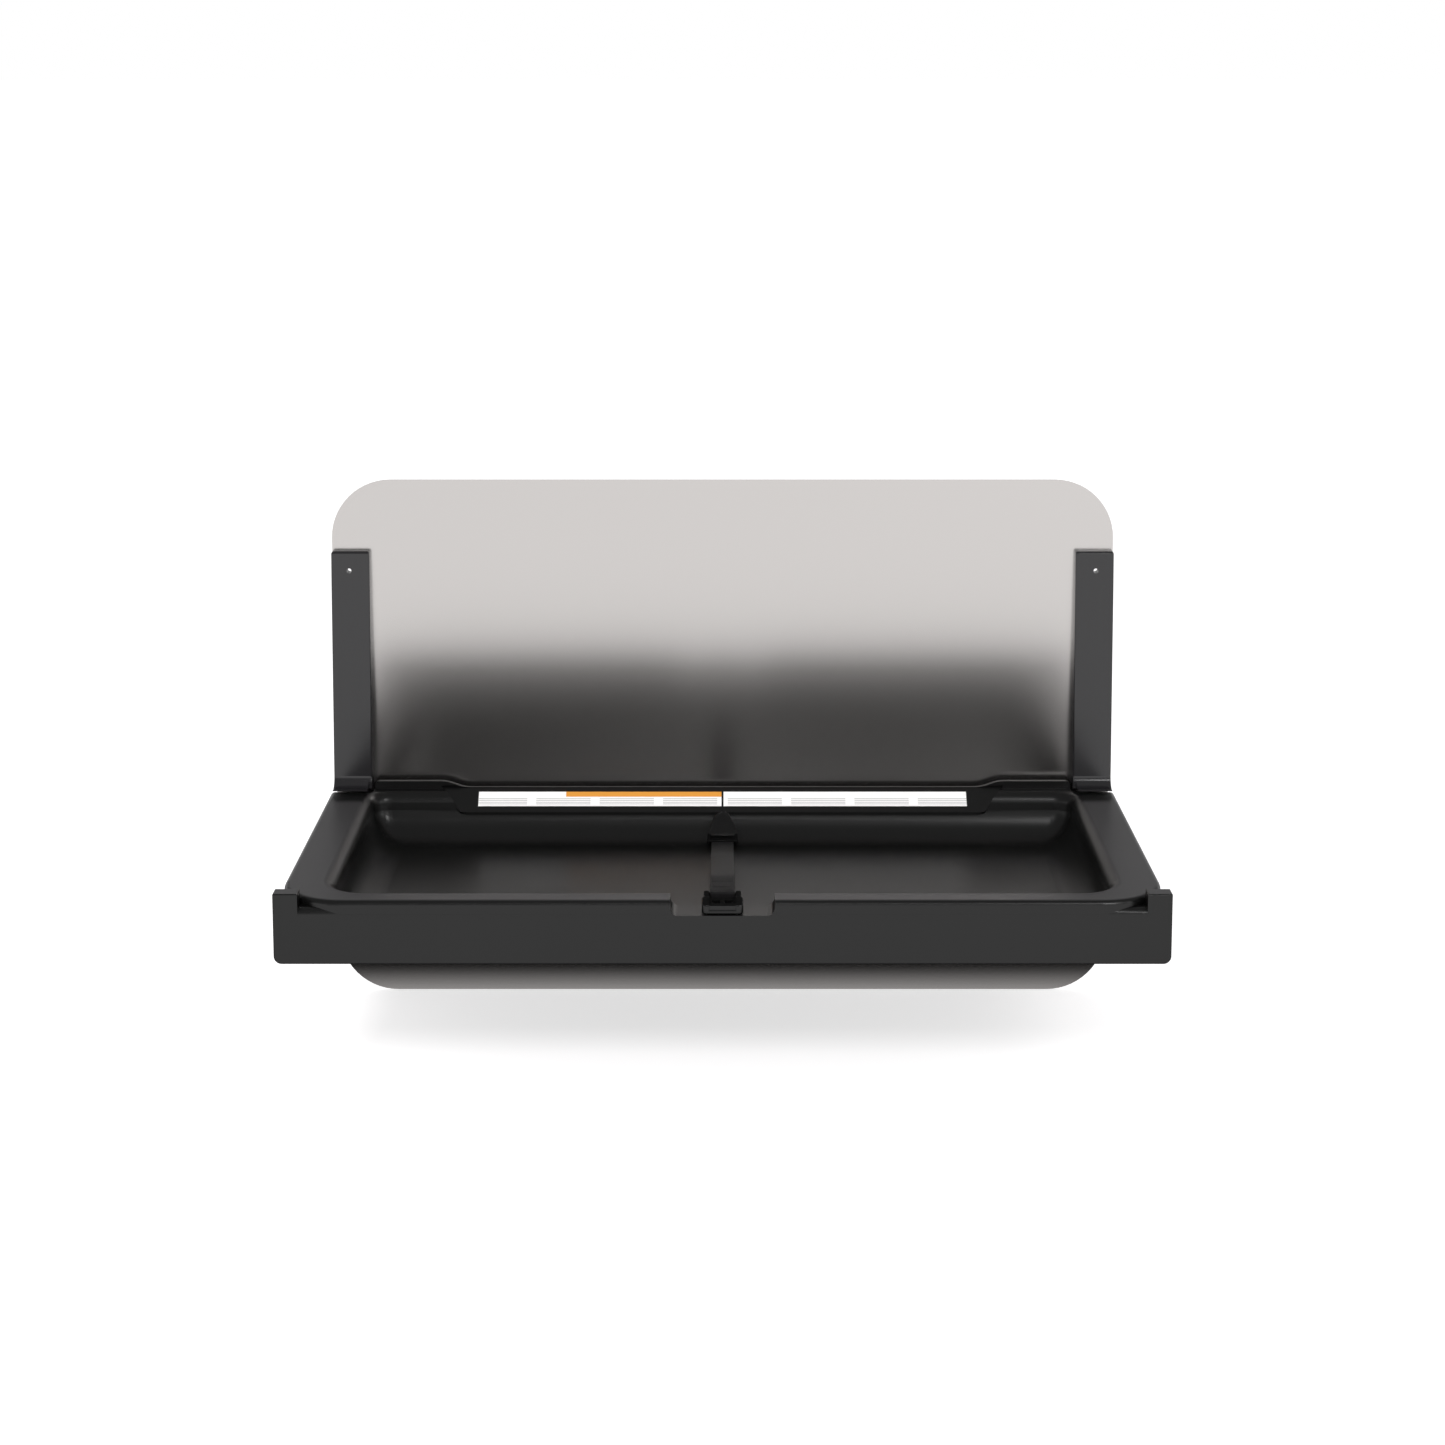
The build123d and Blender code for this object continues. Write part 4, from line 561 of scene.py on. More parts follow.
def label_film(name, colour, band, band_from, band_to):
    """Printed polyester film with a clear satin top layer."""
    # Even and smooth. The print is plain: thin grey rules in columns, and a coloured band.
    material, tree, output = new_material(name)
    place = add_node(tree, "ShaderNodeTexCoord")
    axes = add_node(tree, "ShaderNodeSeparateXYZ", {"Vector": place.outputs["Object"]})
    height = LABEL_HIGH.z - LABEL_LOW.z
    lines = []
    for low, high in RULES:
        middle = LABEL_LOW.z + (low + high) / 2 * height
        line = add_node(
            tree,
            "ShaderNodeMath",
            {0: axes.outputs["Z"], 1: middle, 2: (high - low) / 2 * height},
            operation="COMPARE",
        )
        lines.append(line.outputs[0])
    total = lines[0]
    for line in lines[1:]:
        total = add_node(tree, "ShaderNodeMath", {0: total, 1: line}, operation="ADD").outputs[0]
    columns = add_node(tree, "ShaderNodeMath", {0: axes.outputs["X"], 1: COLUMN_PITCH}, operation="MODULO")
    positive = add_node(tree, "ShaderNodeMath", {0: columns.outputs[0]}, operation="ABSOLUTE")
    inside = add_node(
        tree,
        "ShaderNodeMath",
        {0: positive.outputs[0], 1: COLUMN_MIDDLE, 2: RULE_HALF_LENGTH},
        operation="COMPARE",
    )
    ruled = add_node(tree, "ShaderNodeMath", {0: total, 1: inside.outputs[0]}, operation="MULTIPLY")
    grey = add_node(
        tree,
        "ShaderNodeMix",
        {"Factor": ruled.outputs[0], "A": linear(colour), "B": linear("#A9A8A8")},
        data_type="RGBA",
    )
    surface = grey.outputs["Result"]
    if band_to > band_from:
        along = add_node(
            tree,
            "ShaderNodeMath",
            {0: axes.outputs["X"], 1: (band_from + band_to) / 2, 2: (band_to - band_from) / 2},
            operation="COMPARE",
        )
        above = add_node(
            tree,
            "ShaderNodeMath",
            {0: axes.outputs["Z"], 1: LABEL_LOW.z + BAND_EDGE * height},
            operation="GREATER_THAN",
        )
        both = add_node(
            tree, "ShaderNodeMath", {0: along.outputs[0], 1: above.outputs[0]}, operation="MULTIPLY"
        )
        banded = add_node(
            tree,
            "ShaderNodeMix",
            {"Factor": both.outputs[0], "A": surface, "B": linear(band)},
            data_type="RGBA",
        )
        surface = banded.outputs["Result"]
    shader = add_node(
        tree, "ShaderNodeBsdfPrincipled", {"Base Color": surface, "Roughness": 0.42, "IOR": 1.5}
    )
    tree.links.new(shader.outputs["BSDF"], output.inputs["Surface"])
    return material


def powder_coat(name, colour):
    """Polyester powder, sprayed on steel and baked."""
    # A shallow orange peel of 2 to 3 mm waves under a semi-matte skin.
    material, tree, output = new_material(name)
    place = add_node(tree, "ShaderNodeTexCoord")
    peel = add_node(
        tree, "ShaderNodeTexNoise", {"Vector": place.outputs["Object"], "Scale": 1 / 0.0025, "Detail": 2.0}
    )
    bump = add_node(
        tree, "ShaderNodeBump", {"Height": peel.outputs["Fac"], "Strength": 0.3, "Distance": 0.0001}
    )
    shader = add_node(
        tree,
        "ShaderNodeBsdfPrincipled",
        {"Base Color": linear(colour), "Roughness": 0.45, "Normal": bump.outputs["Normal"]},
    )
    tree.links.new(shader.outputs["BSDF"], output.inputs["Surface"])
    return material


def zinc_plate(name, colour, roughness):
    """Steel, turned or headed and bright zinc plated."""
    # Cool and bright, with a slightly cloudy film from the passivation.
    material, tree, output = new_material(name)
    place = add_node(tree, "ShaderNodeTexCoord")
    cloud = add_node(
        tree, "ShaderNodeTexNoise", {"Vector": place.outputs["Object"], "Scale": 1 / 0.004, "Detail": 3.0}
    )
    blur = add_node(
        tree,
        "ShaderNodeMapRange",
        {"Value": cloud.outputs["Fac"], "To Min": roughness - 0.08, "To Max": roughness + 0.08},
    )
    shader = add_node(
        tree,
        "ShaderNodeBsdfPrincipled",
        {"Base Color": linear(colour), "Metallic": 1.0, "Roughness": blur.outputs["Result"]},
    )
    tree.links.new(shader.outputs["BSDF"], output.inputs["Surface"])
    return material


def moulded_rubber(name, colour):
    """Neoprene, compression moulded."""
    # Dead matt, with dust-fine mottling.
    material, tree, output = new_material(name)
    place = add_node(tree, "ShaderNodeTexCoord")
    mottle = add_node(
        tree, "ShaderNodeTexNoise", {"Vector": place.outputs["Object"], "Scale": 1 / 0.002, "Detail": 4.0}
    )
    blur = add_node(
        tree, "ShaderNodeMapRange", {"Value": mottle.outputs["Fac"], "To Min": 0.75, "To Max": 0.92}
    )
    shader = add_node(
        tree, "ShaderNodeBsdfPrincipled", {"Base Color": linear(colour), "Roughness": blur.outputs["Result"]}
    )
    tree.links.new(shader.outputs["BSDF"], output.inputs["Surface"])
    return material


# Heights of a mirrored direction between which the white room turns dark overhead
OVERHEAD_FROM = 0.02
OVERHEAD_TO = 0.3

# The floor that mirrors see is painted light, along Y: a painted glow at the plate's foot that fades
# out towards its end, a painted shadow under the bed, and the white of the open floor, which fades in
# from one place to the other
FLOOR_SIZE = 120
FLOOR_GAP = 0.0005
FOOT_GLOW = 0.40
FOOT_GLOW_END = -0.055
OPEN_GLOW = 0.95
OPEN_FROM = -0.40
OPEN_TO = -0.80


class STATION_OT_stage(bpy.types.Operator):
    """Sets up the camera, the lamps, the surround and the floor"""

    bl_idname = "station.stage"
    bl_label = "Stage"

    def execute(self, context):
        settings = context.scene.station_stage
        scene = context.scene
        clear_selection()
        bpy.ops.object.camera_add(
            location=(0, -settings.camera_distance, settings.camera_height),
            rotation=(math.pi / 2 - settings.camera_pitch, 0, 0),
        )
        camera = context.object
        camera.data.sensor_width = 36
        camera.data.lens = settings.camera_lens
        camera.data.shift_y = settings.camera_shift
        camera.data.clip_end = 200
        scene.camera = camera

        scene.view_settings.view_transform = "Standard"
        world = bpy.data.worlds.new("Room")
        world.use_nodes = True
        scene.world = world
        tree = world.node_tree
        tree.nodes.clear()
        path = add_node(tree, "ShaderNodeLightPath")
        seen = add_node(
            tree,
            "ShaderNodeMath",
            {0: path.outputs["Is Camera Ray"], 1: path.outputs["Is Glossy Ray"]},
            operation="MAXIMUM",
        )
        seen = add_node(
            tree,
            "ShaderNodeMath",
            {0: seen.outputs[0], 1: path.outputs["Is Transmission Ray"]},
            operation="MAXIMUM",
        )
        place = add_node(tree, "ShaderNodeTexCoord")
        direction = add_node(tree, "ShaderNodeSeparateXYZ", {"Vector": place.outputs["Generated"]})
        mirrored = add_node(
            tree,
            "ShaderNodeMapRange",
            {
                "Value": direction.outputs["Z"],
                "From Min": OVERHEAD_FROM,
                "From Max": OVERHEAD_TO,
                "To Min": 1.0,
                "To Max": settings.overhead,
            },
            interpolation_type="SMOOTHSTEP",
        )
        level = add_node(
            tree,
            "ShaderNodeMix",
            {"Factor": seen.outputs[0], "A": settings.surround, "B": mirrored.outputs["Result"]},
        )
        strength = add_node(
            tree,
            "ShaderNodeMath",
            {0: level.outputs["Result"], 1: path.outputs["Is Camera Ray"]},
            operation="MAXIMUM",
        )
        surround = add_node(
            tree, "ShaderNodeBackground", {"Color": (1, 1, 1, 1), "Strength": strength.outputs[0]}
        )
        add_node(tree, "ShaderNodeOutputWorld", {"Surface": surround.outputs["Background"]})

        broad = self.lamp(
            "Left lamp", place=(-0.8, -2.6, 1.4), aim=(0.1, 0, -0.1), size=0.4, power=settings.key_light
        )
        broad.visible_glossy = False
        self.lamp(
            "Right lamp", place=(1.2, -2.3, 1.3), aim=(-0.1, 0, -0.1), size=0.7, power=settings.fill_light
        )
        glint = self.lamp(
            "Right glint", place=(1.7, -1.0, 0.5), aim=(0, -0.1, -0.1), size=0.25, power=settings.glint
        )
        glint.visible_diffuse = False
        self.lamp(
            "Front lamp", place=(0.02, -3.0, 1.6), aim=(0, 0, -0.1), size=0.25, power=settings.front_light
        )

        clear_selection()
        bpy.ops.mesh.primitive_plane_add(size=FLOOR_SIZE, location=(0, 0, PLATE_LOW.z - FLOOR_GAP))
        floor = context.object
        floor.name = "floor"
        floor.data.materials.append(self.floor_material(settings))
        return {"FINISHED"}

    def lamp(self, name, place, aim, size, power):
        """A square soft lamp that points at a place."""
        clear_selection()
        bpy.ops.object.light_add(type="AREA", location=place)
        lamp = bpy.context.object
        lamp.name = name
        lamp.rotation_euler = (Vector(aim) - Vector(place)).to_track_quat("-Z", "Y").to_euler()
        lamp.data.size = size
        lamp.data.energy = power
        return lamp

    def floor_material(self, settings):
        """Plain matt floor that meets the white surround without a line and keeps the shadow."""
        # Mirrors see a painted image of it: white far from the wall, a painted shadow under the bed and a
        # painted glow at the plate's foot.
        material, tree, output = new_material("Floor with painted reflection")
        path = add_node(tree, "ShaderNodeLightPath")
        place = add_node(tree, "ShaderNodeTexCoord")
        axes = add_node(tree, "ShaderNodeSeparateXYZ", {"Vector": place.outputs["Object"]})
        foot = add_node(
            tree,
            "ShaderNodeMapRange",
            {
                "Value": axes.outputs["Y"],
                "From Min": 0.0,
                "From Max": FOOT_GLOW_END,
                "To Min": FOOT_GLOW,
                "To Max": 0.0,
            },
        )
        beyond = add_node(
            tree,
            "ShaderNodeMapRange",
            {
                "Value": axes.outputs["Y"],
                "From Min": OPEN_FROM,
                "From Max": OPEN_TO,
                "To Min": 0.0,
                "To Max": OPEN_GLOW,
            },
        )
        shine = add_node(
            tree, "ShaderNodeMath", {0: foot.outputs["Result"], 1: beyond.outputs["Result"]}, operation="ADD"
        )
        # Painted reflection: an emission, not a lamp, that gives mirrors the floor's glow and the bed's
        # shadow
        painted_mirror_floor = add_node(tree, "ShaderNodeEmission", {"Color": (1, 1, 1, 1), "Strength": shine.outputs[0]})
        lift = add_node(
            tree,
            "ShaderNodeMath",
            {0: path.outputs["Is Camera Ray"], 1: settings.floor_glow},
            operation="MULTIPLY",
        )
        matt = add_node(tree, "ShaderNodeBsdfDiffuse", {"Color": linear(settings.floor_colour)})
        glow = add_node(tree, "ShaderNodeEmission", {"Color": (1, 1, 1, 1), "Strength": lift.outputs[0]})
        seen = add_node(tree, "ShaderNodeAddShader", {0: matt.outputs[0], 1: glow.outputs[0]})
        mirrored = add_node(
            tree,
            "ShaderNodeMath",
            {0: path.outputs["Is Glossy Ray"], 1: path.outputs["Is Transmission Ray"]},
            operation="MAXIMUM",
        )
        both = add_node(
            tree, "ShaderNodeMixShader", {0: mirrored.outputs[0], 1: seen.outputs[0], 2: painted_mirror_floor.outputs[0]}
        )
        tree.links.new(both.outputs[0], output.inputs["Surface"])
        return material


class STATION_OT_plate_and_arms(bpy.types.Operator):
    """Finishes the wall plate and the two arms"""

    bl_idname = "station.plate_and_arms"
    bl_label = "Plate and arms"

    def execute(self, context):
        finish = context.scene.station_finish
        wear("wall_plate", satin_stainless("Satin stainless steel", finish.steel, roughness=0.23))
        arm_abs = textured_abs("Arm ABS", finish.arms, roughness=0.16, shine=1.65)
        wear("arm_left", arm_abs)
        wear("arm_right", arm_abs)
        return {"FINISHED"}


class STATION_OT_bed(bpy.types.Operator):
    """Finishes the bed's tray and underside shell"""

    bl_idname = "station.bed"
    bl_label = "Bed"

    def execute(self, context):
        finish = context.scene.station_finish
        bed_abs = textured_abs("Bed ABS", finish.bed, roughness=0.31, rim_painted_light_colour=finish.rim)
        wear("bed_tray", bed_abs)
        wear("bed_shell", bed_abs)
        return {"FINISHED"}


class STATION_OT_hardware(bpy.types.Operator):
    """Finishes the steelwork, the screws, the bushes, the dampers and the buffers"""

    bl_idname = "station.hardware"
    bl_label = "Hardware"

    def execute(self, context):
        coat = powder_coat("Black powder coat", "#2B2B2D")
        zinc = zinc_plate("Zinc plated steel", "#C9CBCC", roughness=0.32)
        ground = zinc_plate("Ground steel", "#C2C1BE", roughness=0.22)
        natural = polished_acetal("Natural acetal", "#E6E2D6", roughness=0.35)
        dark = textured_abs("Damper ABS", "#2A2A2C", roughness=0.5)
        rubber = moulded_rubber("Black neoprene", "#1C1C1C")
        for side in ("left", "right"):
            wear("side_rail_" + side, coat)
            wear("hinge_bracket_" + side, coat)
            wear("hinge_pin_" + side, ground)
            wear("hinge_bushing_" + side, natural)
            wear("damper_rotor_" + side, natural)
            wear("damper_housing_" + side, dark)
        for beam in ("rear_beam", "front_beam"):
            wear(beam, coat)
        for bolts in ("beam_bolts", "bracket_studs", "bracket_nuts", "pin_clips", "anchor_plate"):
            wear(bolts, zinc)
        for carried in ("arm", "shell", "damper", "strap_guide", "anchor"):
            wear(carried + "_screws", zinc)
        wear("stop_pins", ground)
        wear("rear_bumpers", rubber)
        return {"FINISHED"}


class STATION_OT_labels(bpy.types.Operator):
    """Finishes the two label strips"""

    bl_idname = "station.labels"
    bl_label = "Labels"

    def execute(self, context):
        finish = context.scene.station_finish
        plain = label_film("Plain label film", finish.label, finish.band, 0, 0)
        wear("label_right", plain)
        banded = label_film("Banded label film", finish.label, finish.band, BAND_LEFT, -LABEL_LOW.x)
        wear("label_left", banded)
        return {"FINISHED"}


def buckle_tilt():
    """The buckle's slope."""
    return bpy.context.scene.station_buckle.tilt


def from_buckle(back, rise):
    """A point of the buckle's own sloping plane, as (y, z): back from its mouth and up from its middle."""
    tilt = buckle_tilt()
    return (
        BUCKLE_MOUTH[0] + back * math.cos(tilt) - rise * math.sin(tilt),
        BUCKLE_MOUTH[1] + back * math.sin(tilt) + rise * math.cos(tilt),
    )


def arc(centre, radius, start, end, steps):
    """Points, as (y, z), on an arc between two angles in degrees."""
    turns = [math.radians(start + (end - start) * step / steps) for step in range(steps + 1)]
    return [(centre[0] + radius * math.cos(t), centre[1] + radius * math.sin(t)) for t in turns]


def smooth_run(start, start_way, middle, end, end_way, steps):
    """Points, as (y, z), of a smooth line through three places with its directions at the ends."""
    first = math.dist(start, middle) / 3
    second = math.dist(middle, end) / 3
    across = Vector((end[0] - start[0], end[1] - start[1])).normalized()
    corners = [Vector((*p, 0)) for p in (start, middle, end)]
    ways = [Vector((*start_way, 0)).normalized(), across.to_3d(), Vector((*end_way, 0)).normalized()]
    run = interpolate_bezier(
        corners[0], corners[0] + ways[0] * first, corners[1] - ways[1] * first, corners[1], steps
    )
    run += interpolate_bezier(
        corners[1], corners[1] + ways[1] * second, corners[2] - ways[2] * second, corners[2], steps
    )[1:]
    return [(p.x, p.y) for p in run]


def sweep_webbing(path, width, thickness):
    """Webbing whose middle line follows (y, z) points: a strip extruded step by step, then thickened."""
    (y0, z0), (y1, z1) = path[:2]
    clear_selection()
    bpy.ops.mesh.primitive_grid_add(
        x_subdivisions=10,
        y_subdivisions=1,
        size=1,
        location=(0, (y0 + y1) / 2, (z0 + z1) / 2),
        rotation=(math.atan2(z1 - z0, y1 - y0), 0, 0),
    )
    piece = bpy.context.object
    piece.scale = (width, math.dist(path[0], path[1]), 1)
    bpy.ops.object.transform_apply(location=True, rotation=True, scale=True)
    pick(piece, lambda vert: math.dist(vert.co.yz, path[1]) < 1e-6, "VERT")
    for (y0, z0), (y1, z1) in zip(path[1:], path[2:]):
        bpy.ops.mesh.extrude_region_move(TRANSFORM_OT_translate={"value": (0, y1 - y0, z1 - z0)})
    bpy.ops.object.mode_set(mode="OBJECT")
    flat_pattern(piece, path)
    apply_modifier(piece, "SOLIDIFY", thickness=thickness, offset=0, use_even_offset=True)
    apply_modifier(piece, "BEVEL", width=thickness * 0.3, segments=2, limit_method="ANGLE")
    return piece


def flat_pattern(piece, path):
    """Gives a strip its UV map: metres across it and metres along its path."""
    along = [0.0]
    for start, end in zip(path, path[1:]):
        along.append(along[-1] + math.dist(start, end))
    run = {}
    for vert in piece.data.vertices:
        nearest = min(range(len(path)), key=lambda i: math.dist(path[i], vert.co.yz))
        run[vert.index] = along[nearest]
    layer = piece.data.uv_layers.active or piece.data.uv_layers.new(name="UVMap")
    for loop in piece.data.loops:
        place = piece.data.vertices[loop.vertex_index].co
        layer.data[loop.index].uv = (place.x, run[loop.vertex_index])


# The hood: an elliptical disc that lies on the slope from its top to its foot, where it is cut off.
# Its half length, half width and thickness, the border round its face, the step down from the
# border to the face, and the rounding of their edges
HOOD_TOP = Vector((0, -0.0420, RIM - 0.0185))
HOOD_FOOT = Vector((0, -0.0705, RIM - 0.0368))
HOOD_REACH = 0.080
HOOD_HALF_WIDTH = 0.0205
HOOD_DEPTH = 0.036
HOOD_BORDER = 0.0019
HOOD_STEP = 0.0009
HOOD_STEP_WIDTH = 0.0006
HOOD_BORDER_ROUNDING = 0.0008
HOOD_EDGE_ROUNDING = 0.0004

# The curved wall of the basin that the hood's front follows: its axis and radius
HOOD_WALL_AXIS = (0, -0.071, RIM - 0.016)
HOOD_WALL_RADIUS = 0.037
HOOD_WALL_LENGTH = 0.06

# Centre and size of the slot that the strap comes out of, the rib above it and the sill under it
HOOD_SLOT = ((0, -0.0655, RIM - 0.0482), (0.0274, 0.023, 0.0044))
HOOD_RIB = ((0, -0.0712, RIM - 0.0388), (0.0266, 0.0046, 0.0036))
HOOD_RIB_ROUNDING = 0.0015
HOOD_SILL = ((0, -0.0620, RIM - 0.0452), (0.0336, 0.0230, 0.0016))
HOOD_SILL_ROUNDING = 0.0006


class STATION_OT_hood(bpy.types.Operator):
    """Models the polished hood on the rear wall that the strap comes out of"""

    bl_idname = "station.hood"
    bl_label = "Hood"

    def execute(self, context):
        slope = math.atan2(HOOD_TOP.z - HOOD_FOOT.z, HOOD_TOP.y - HOOD_FOOT.y)
        up = Vector((0, -math.sin(slope), math.cos(slope)))
        middle = HOOD_TOP + (HOOD_FOOT - HOOD_TOP).normalized() * HOOD_REACH - up * HOOD_DEPTH / 2
        clear_selection()
        bpy.ops.mesh.primitive_cylinder_add(
            vertices=96, radius=1, depth=1, location=middle, rotation=(slope, 0, 0)
        )
        hood = context.object
        hood.scale = (HOOD_HALF_WIDTH, HOOD_REACH, HOOD_DEPTH)
        bpy.ops.object.transform_apply(location=True, rotation=True, scale=True)
        pick(hood, lambda face: face.normal.dot(up) > 0.99)
        bpy.ops.mesh.inset(thickness=HOOD_BORDER)
        bpy.ops.mesh.inset(thickness=HOOD_STEP_WIDTH, depth=-HOOD_STEP)
        pick(hood, lambda edge: self.on_border(edge, up), "EDGE")
        bpy.ops.mesh.bevel(offset=HOOD_BORDER_ROUNDING, segments=5, affect="EDGES")
        bpy.ops.mesh.select_all(action="SELECT")
        bpy.ops.mesh.bisect(plane_co=HOOD_FOOT, plane_no=(0, -1, 0), use_fill=True, clear_outer=True)
        bpy.ops.mesh.select_all(action="SELECT")
        bpy.ops.mesh.bisect(
            plane_co=(0, 0, HOOD_LOW.z), plane_no=(0, 0, 1), use_fill=True, clear_inner=True
        )
        bpy.ops.object.mode_set(mode="OBJECT")

        clear_selection()
        bpy.ops.mesh.primitive_cylinder_add(
            vertices=160,
            radius=HOOD_WALL_RADIUS,
            depth=HOOD_WALL_LENGTH,
            location=HOOD_WALL_AXIS,
            rotation=(0, math.pi / 2, 0),
        )
        basin_wall = context.object
        apply_modifier(hood, "BOOLEAN", operation="INTERSECT", object=basin_wall, solver="EXACT")
        bpy.data.objects.remove(basin_wall)
        cut_away(hood, block(*HOOD_SLOT))
        rib = block(*HOOD_RIB)
        apply_modifier(rib, "BEVEL", width=HOOD_RIB_ROUNDING, segments=6)
        sill = block(*HOOD_SILL)
        apply_modifier(sill, "BEVEL", width=HOOD_SILL_ROUNDING, segments=4)
        apply_modifier(
            hood, "BEVEL", width=HOOD_EDGE_ROUNDING, segments=3, limit_method="ANGLE", angle_limit=CREASE
        )
        hood = join([hood, rib, sill])
        gloss = polished_acetal("Polished black acetal", context.scene.station_finish.gloss, roughness=0.12)
        settle(hood, "strap_hood", "bed", gloss)
        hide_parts("strap_guide")
        return {"FINISHED"}

    def on_border(self, edge, up):
        """Whether an edge is a sharp one in the plane of the border's top."""
        flat = all(abs((vert.co - HOOD_TOP).dot(up)) < 1e-5 for vert in edge.verts)
        return flat and edge.calc_face_angle(0) > 0.5


# The strap's start in the hood and its mouth there, as (y, z)
STRAP_START = (-0.056, RIM - 0.0460)
STRAP_MOUTH = (-0.071, RIM - 0.0468)

# How far back from the buckle's mouth the strap bends down to it and lies flat, and the length
# before the bend that the bend's curve takes up
STRAP_BEND = 0.058
STRAP_JOIN = 0.042
STRAP_LEAD = 0.030

# The strap at the tongue, in the buckle's own plane as (back, rise): the height of its upper layer,
# the bar that it goes round, the radius of its turn, and its turned end back under itself
STRAP_RISE = 0.00405
STRAP_BAR = (0.0128, 0.003)
STRAP_BAR_END = 0.016
STRAP_TURN = 0.00105
STRAP_END = (
    (0.0186, 0.0004),
    (0.0206, 0.0019),
    (0.0232, 0.00245),
    (0.030, 0.00245),
    (0.036, 0.00245),
    (0.042, 0.00240),
)

# The rows of stitches: how far back they are, their first stitch, pitch, count and thread
STITCH_ROWS = (0.026, 0.041)
STITCH_FIRST = -0.0102
STITCH_PITCH = 0.00255
STITCH_COUNT = 9
THREAD = (0.0006, 0.0005)

# The short webbing: its place at the anchor plate, the bar that it goes round and its turn
SHORT_Y = -0.40925
SHORT_BAR = -0.020
SHORT_TURN = 0.0018


class STATION_OT_strap(bpy.types.Operator):
    """Models the safety strap, its turned and stitched end, and the short webbing that holds the buckle"""

    bl_idname = "station.strap"
    bl_label = "Strap"

    def execute(self, context):
        settings = context.scene.station_strap
        web = woven_polyester("Woven polyester webbing", context.scene.station_finish.webbing)
        strap = sweep_webbing(self.strap_path(settings), settings.width, settings.thickness)
        pieces = [strap] + self.stitches(settings)
        strap = join(pieces)
        settle(strap, "strap_webbing", None, web)
        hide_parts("strap")
        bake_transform(strap)

        short = sweep_webbing(self.short_path(), settings.width, settings.thickness)
        settle(short, "buckle_loop", "bed", web)
        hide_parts("buckle_webbing")
        return {"FINISHED"}

    def strap_path(self, settings):
        """Out of the hood, down to the tongue, round its bar and back under itself."""
        mouth = STRAP_MOUTH
        join_point = from_buckle(STRAP_JOIN, STRAP_RISE)
        bend = from_buckle(STRAP_BEND, STRAP_RISE)
        length = math.dist(mouth, bend)
        way = ((bend[0] - mouth[0]) / length, (bend[1] - mouth[1]) / length)
        run_end = (bend[0] - STRAP_LEAD * way[0], bend[1] - STRAP_LEAD * way[1])
        middle = ((mouth[0] + run_end[0]) / 2, (mouth[1] + run_end[1]) / 2 - settings.sag)
        free = smooth_run(mouth, (-1, -0.053), middle, run_end, way, 18)
        corners = [Vector((*point, 0)) for point in (run_end, bend, bend, join_point)]
        free += [(point.x, point.y) for point in interpolate_bezier(*corners, 12)[1:]]
        bar_back, bar_rise = STRAP_BAR
        turn = math.degrees(buckle_tilt())
        path = [STRAP_START] + free
        path += [from_buckle(0.030, STRAP_RISE), from_buckle(0.020, STRAP_RISE)]
        path += arc(from_buckle(bar_back, bar_rise), STRAP_TURN, 90 + turn, 180 + turn, 5)
        path += arc(from_buckle(bar_back, -bar_rise), STRAP_TURN, 180 + turn, 270 + turn, 5)
        path += arc(from_buckle(STRAP_BAR_END, -bar_rise), STRAP_TURN, 270 + turn, 350 + turn, 4)
        path += [from_buckle(back, rise) for back, rise in STRAP_END]
        return path

    def short_path(self):
        """From the anchor plate, up through the notch's slot and round the buckle's bar."""
        bar = from_buckle(SHORT_BAR, 0)
        leg = bar[0] + SHORT_TURN
        path = [(SHORT_Y, RIM - 0.045), (SHORT_Y, RIM - 0.037), (SHORT_Y, RIM - 0.030)]
        path += [(SHORT_Y - 0.0012, RIM - 0.0275), (leg + 0.0016, RIM - 0.0205)]
        path += [(leg, RIM - 0.0188), (leg, bar[1] - 0.0016)]
        path += arc(bar, SHORT_TURN, 0, 300, 14)
        return path

    def stitches(self, settings):
        """Two rows of thread across the strap that hold its turned end."""
        rows = []
        for back in STITCH_ROWS:
            y, z = from_buckle(back, STRAP_RISE + settings.thickness / 2)
            clear_selection()
            bpy.ops.mesh.primitive_uv_sphere_add(
                segments=8, ring_count=6, radius=0.5, location=(STITCH_FIRST, y, z)
            )
            stitch = bpy.context.object
            stitch.scale = (settings.stitch * 0.85, *THREAD)
            bpy.ops.object.transform_apply(location=True, rotation=True, scale=True)
            apply_modifier(
                stitch,
                "ARRAY",
                count=STITCH_COUNT,
                use_relative_offset=False,
                use_constant_offset=True,
                constant_offset_displace=(STITCH_PITCH, 0, 0),
            )
            rows.append(stitch)
        return rows


# The buckle's housing, back from its mouth, up from its middle and across: its length, corners,
# wall, cavity and side windows, and the slot, bar and half width of its short webbing
HOUSING_LENGTH = 0.024
HOUSING_CORNER = 0.0045
HOUSING_WALL = 0.0018
CAVITY_LENGTH = 0.0155
CAVITY_RISE = 0.0037
WINDOW_BACK = (-0.012, -0.004)
WINDOW_RISE = 0.0025
SLOT_BACK = (-0.0228, -0.0172)
SLOT_TOP = 0.0028
SLOT_HALF = 0.0132
BAR_RADIUS = 0.001
RECESS_DEPTH = 0.0010
RECESS_HALF = 0.0134
OPENING_HALF = 0.0129
OPENING_FLOOR = -0.0005
OVERRUN = 0.002

# The tongue: half thickness and half width of its frame, and its prongs' half thickness and ends
FRAME_RISE = 0.003
FRAME_HALF = 0.0175
PRONG_RISE = 0.0022
PRONG_TIP = -0.0139
PRONG_ROOT = 0.001


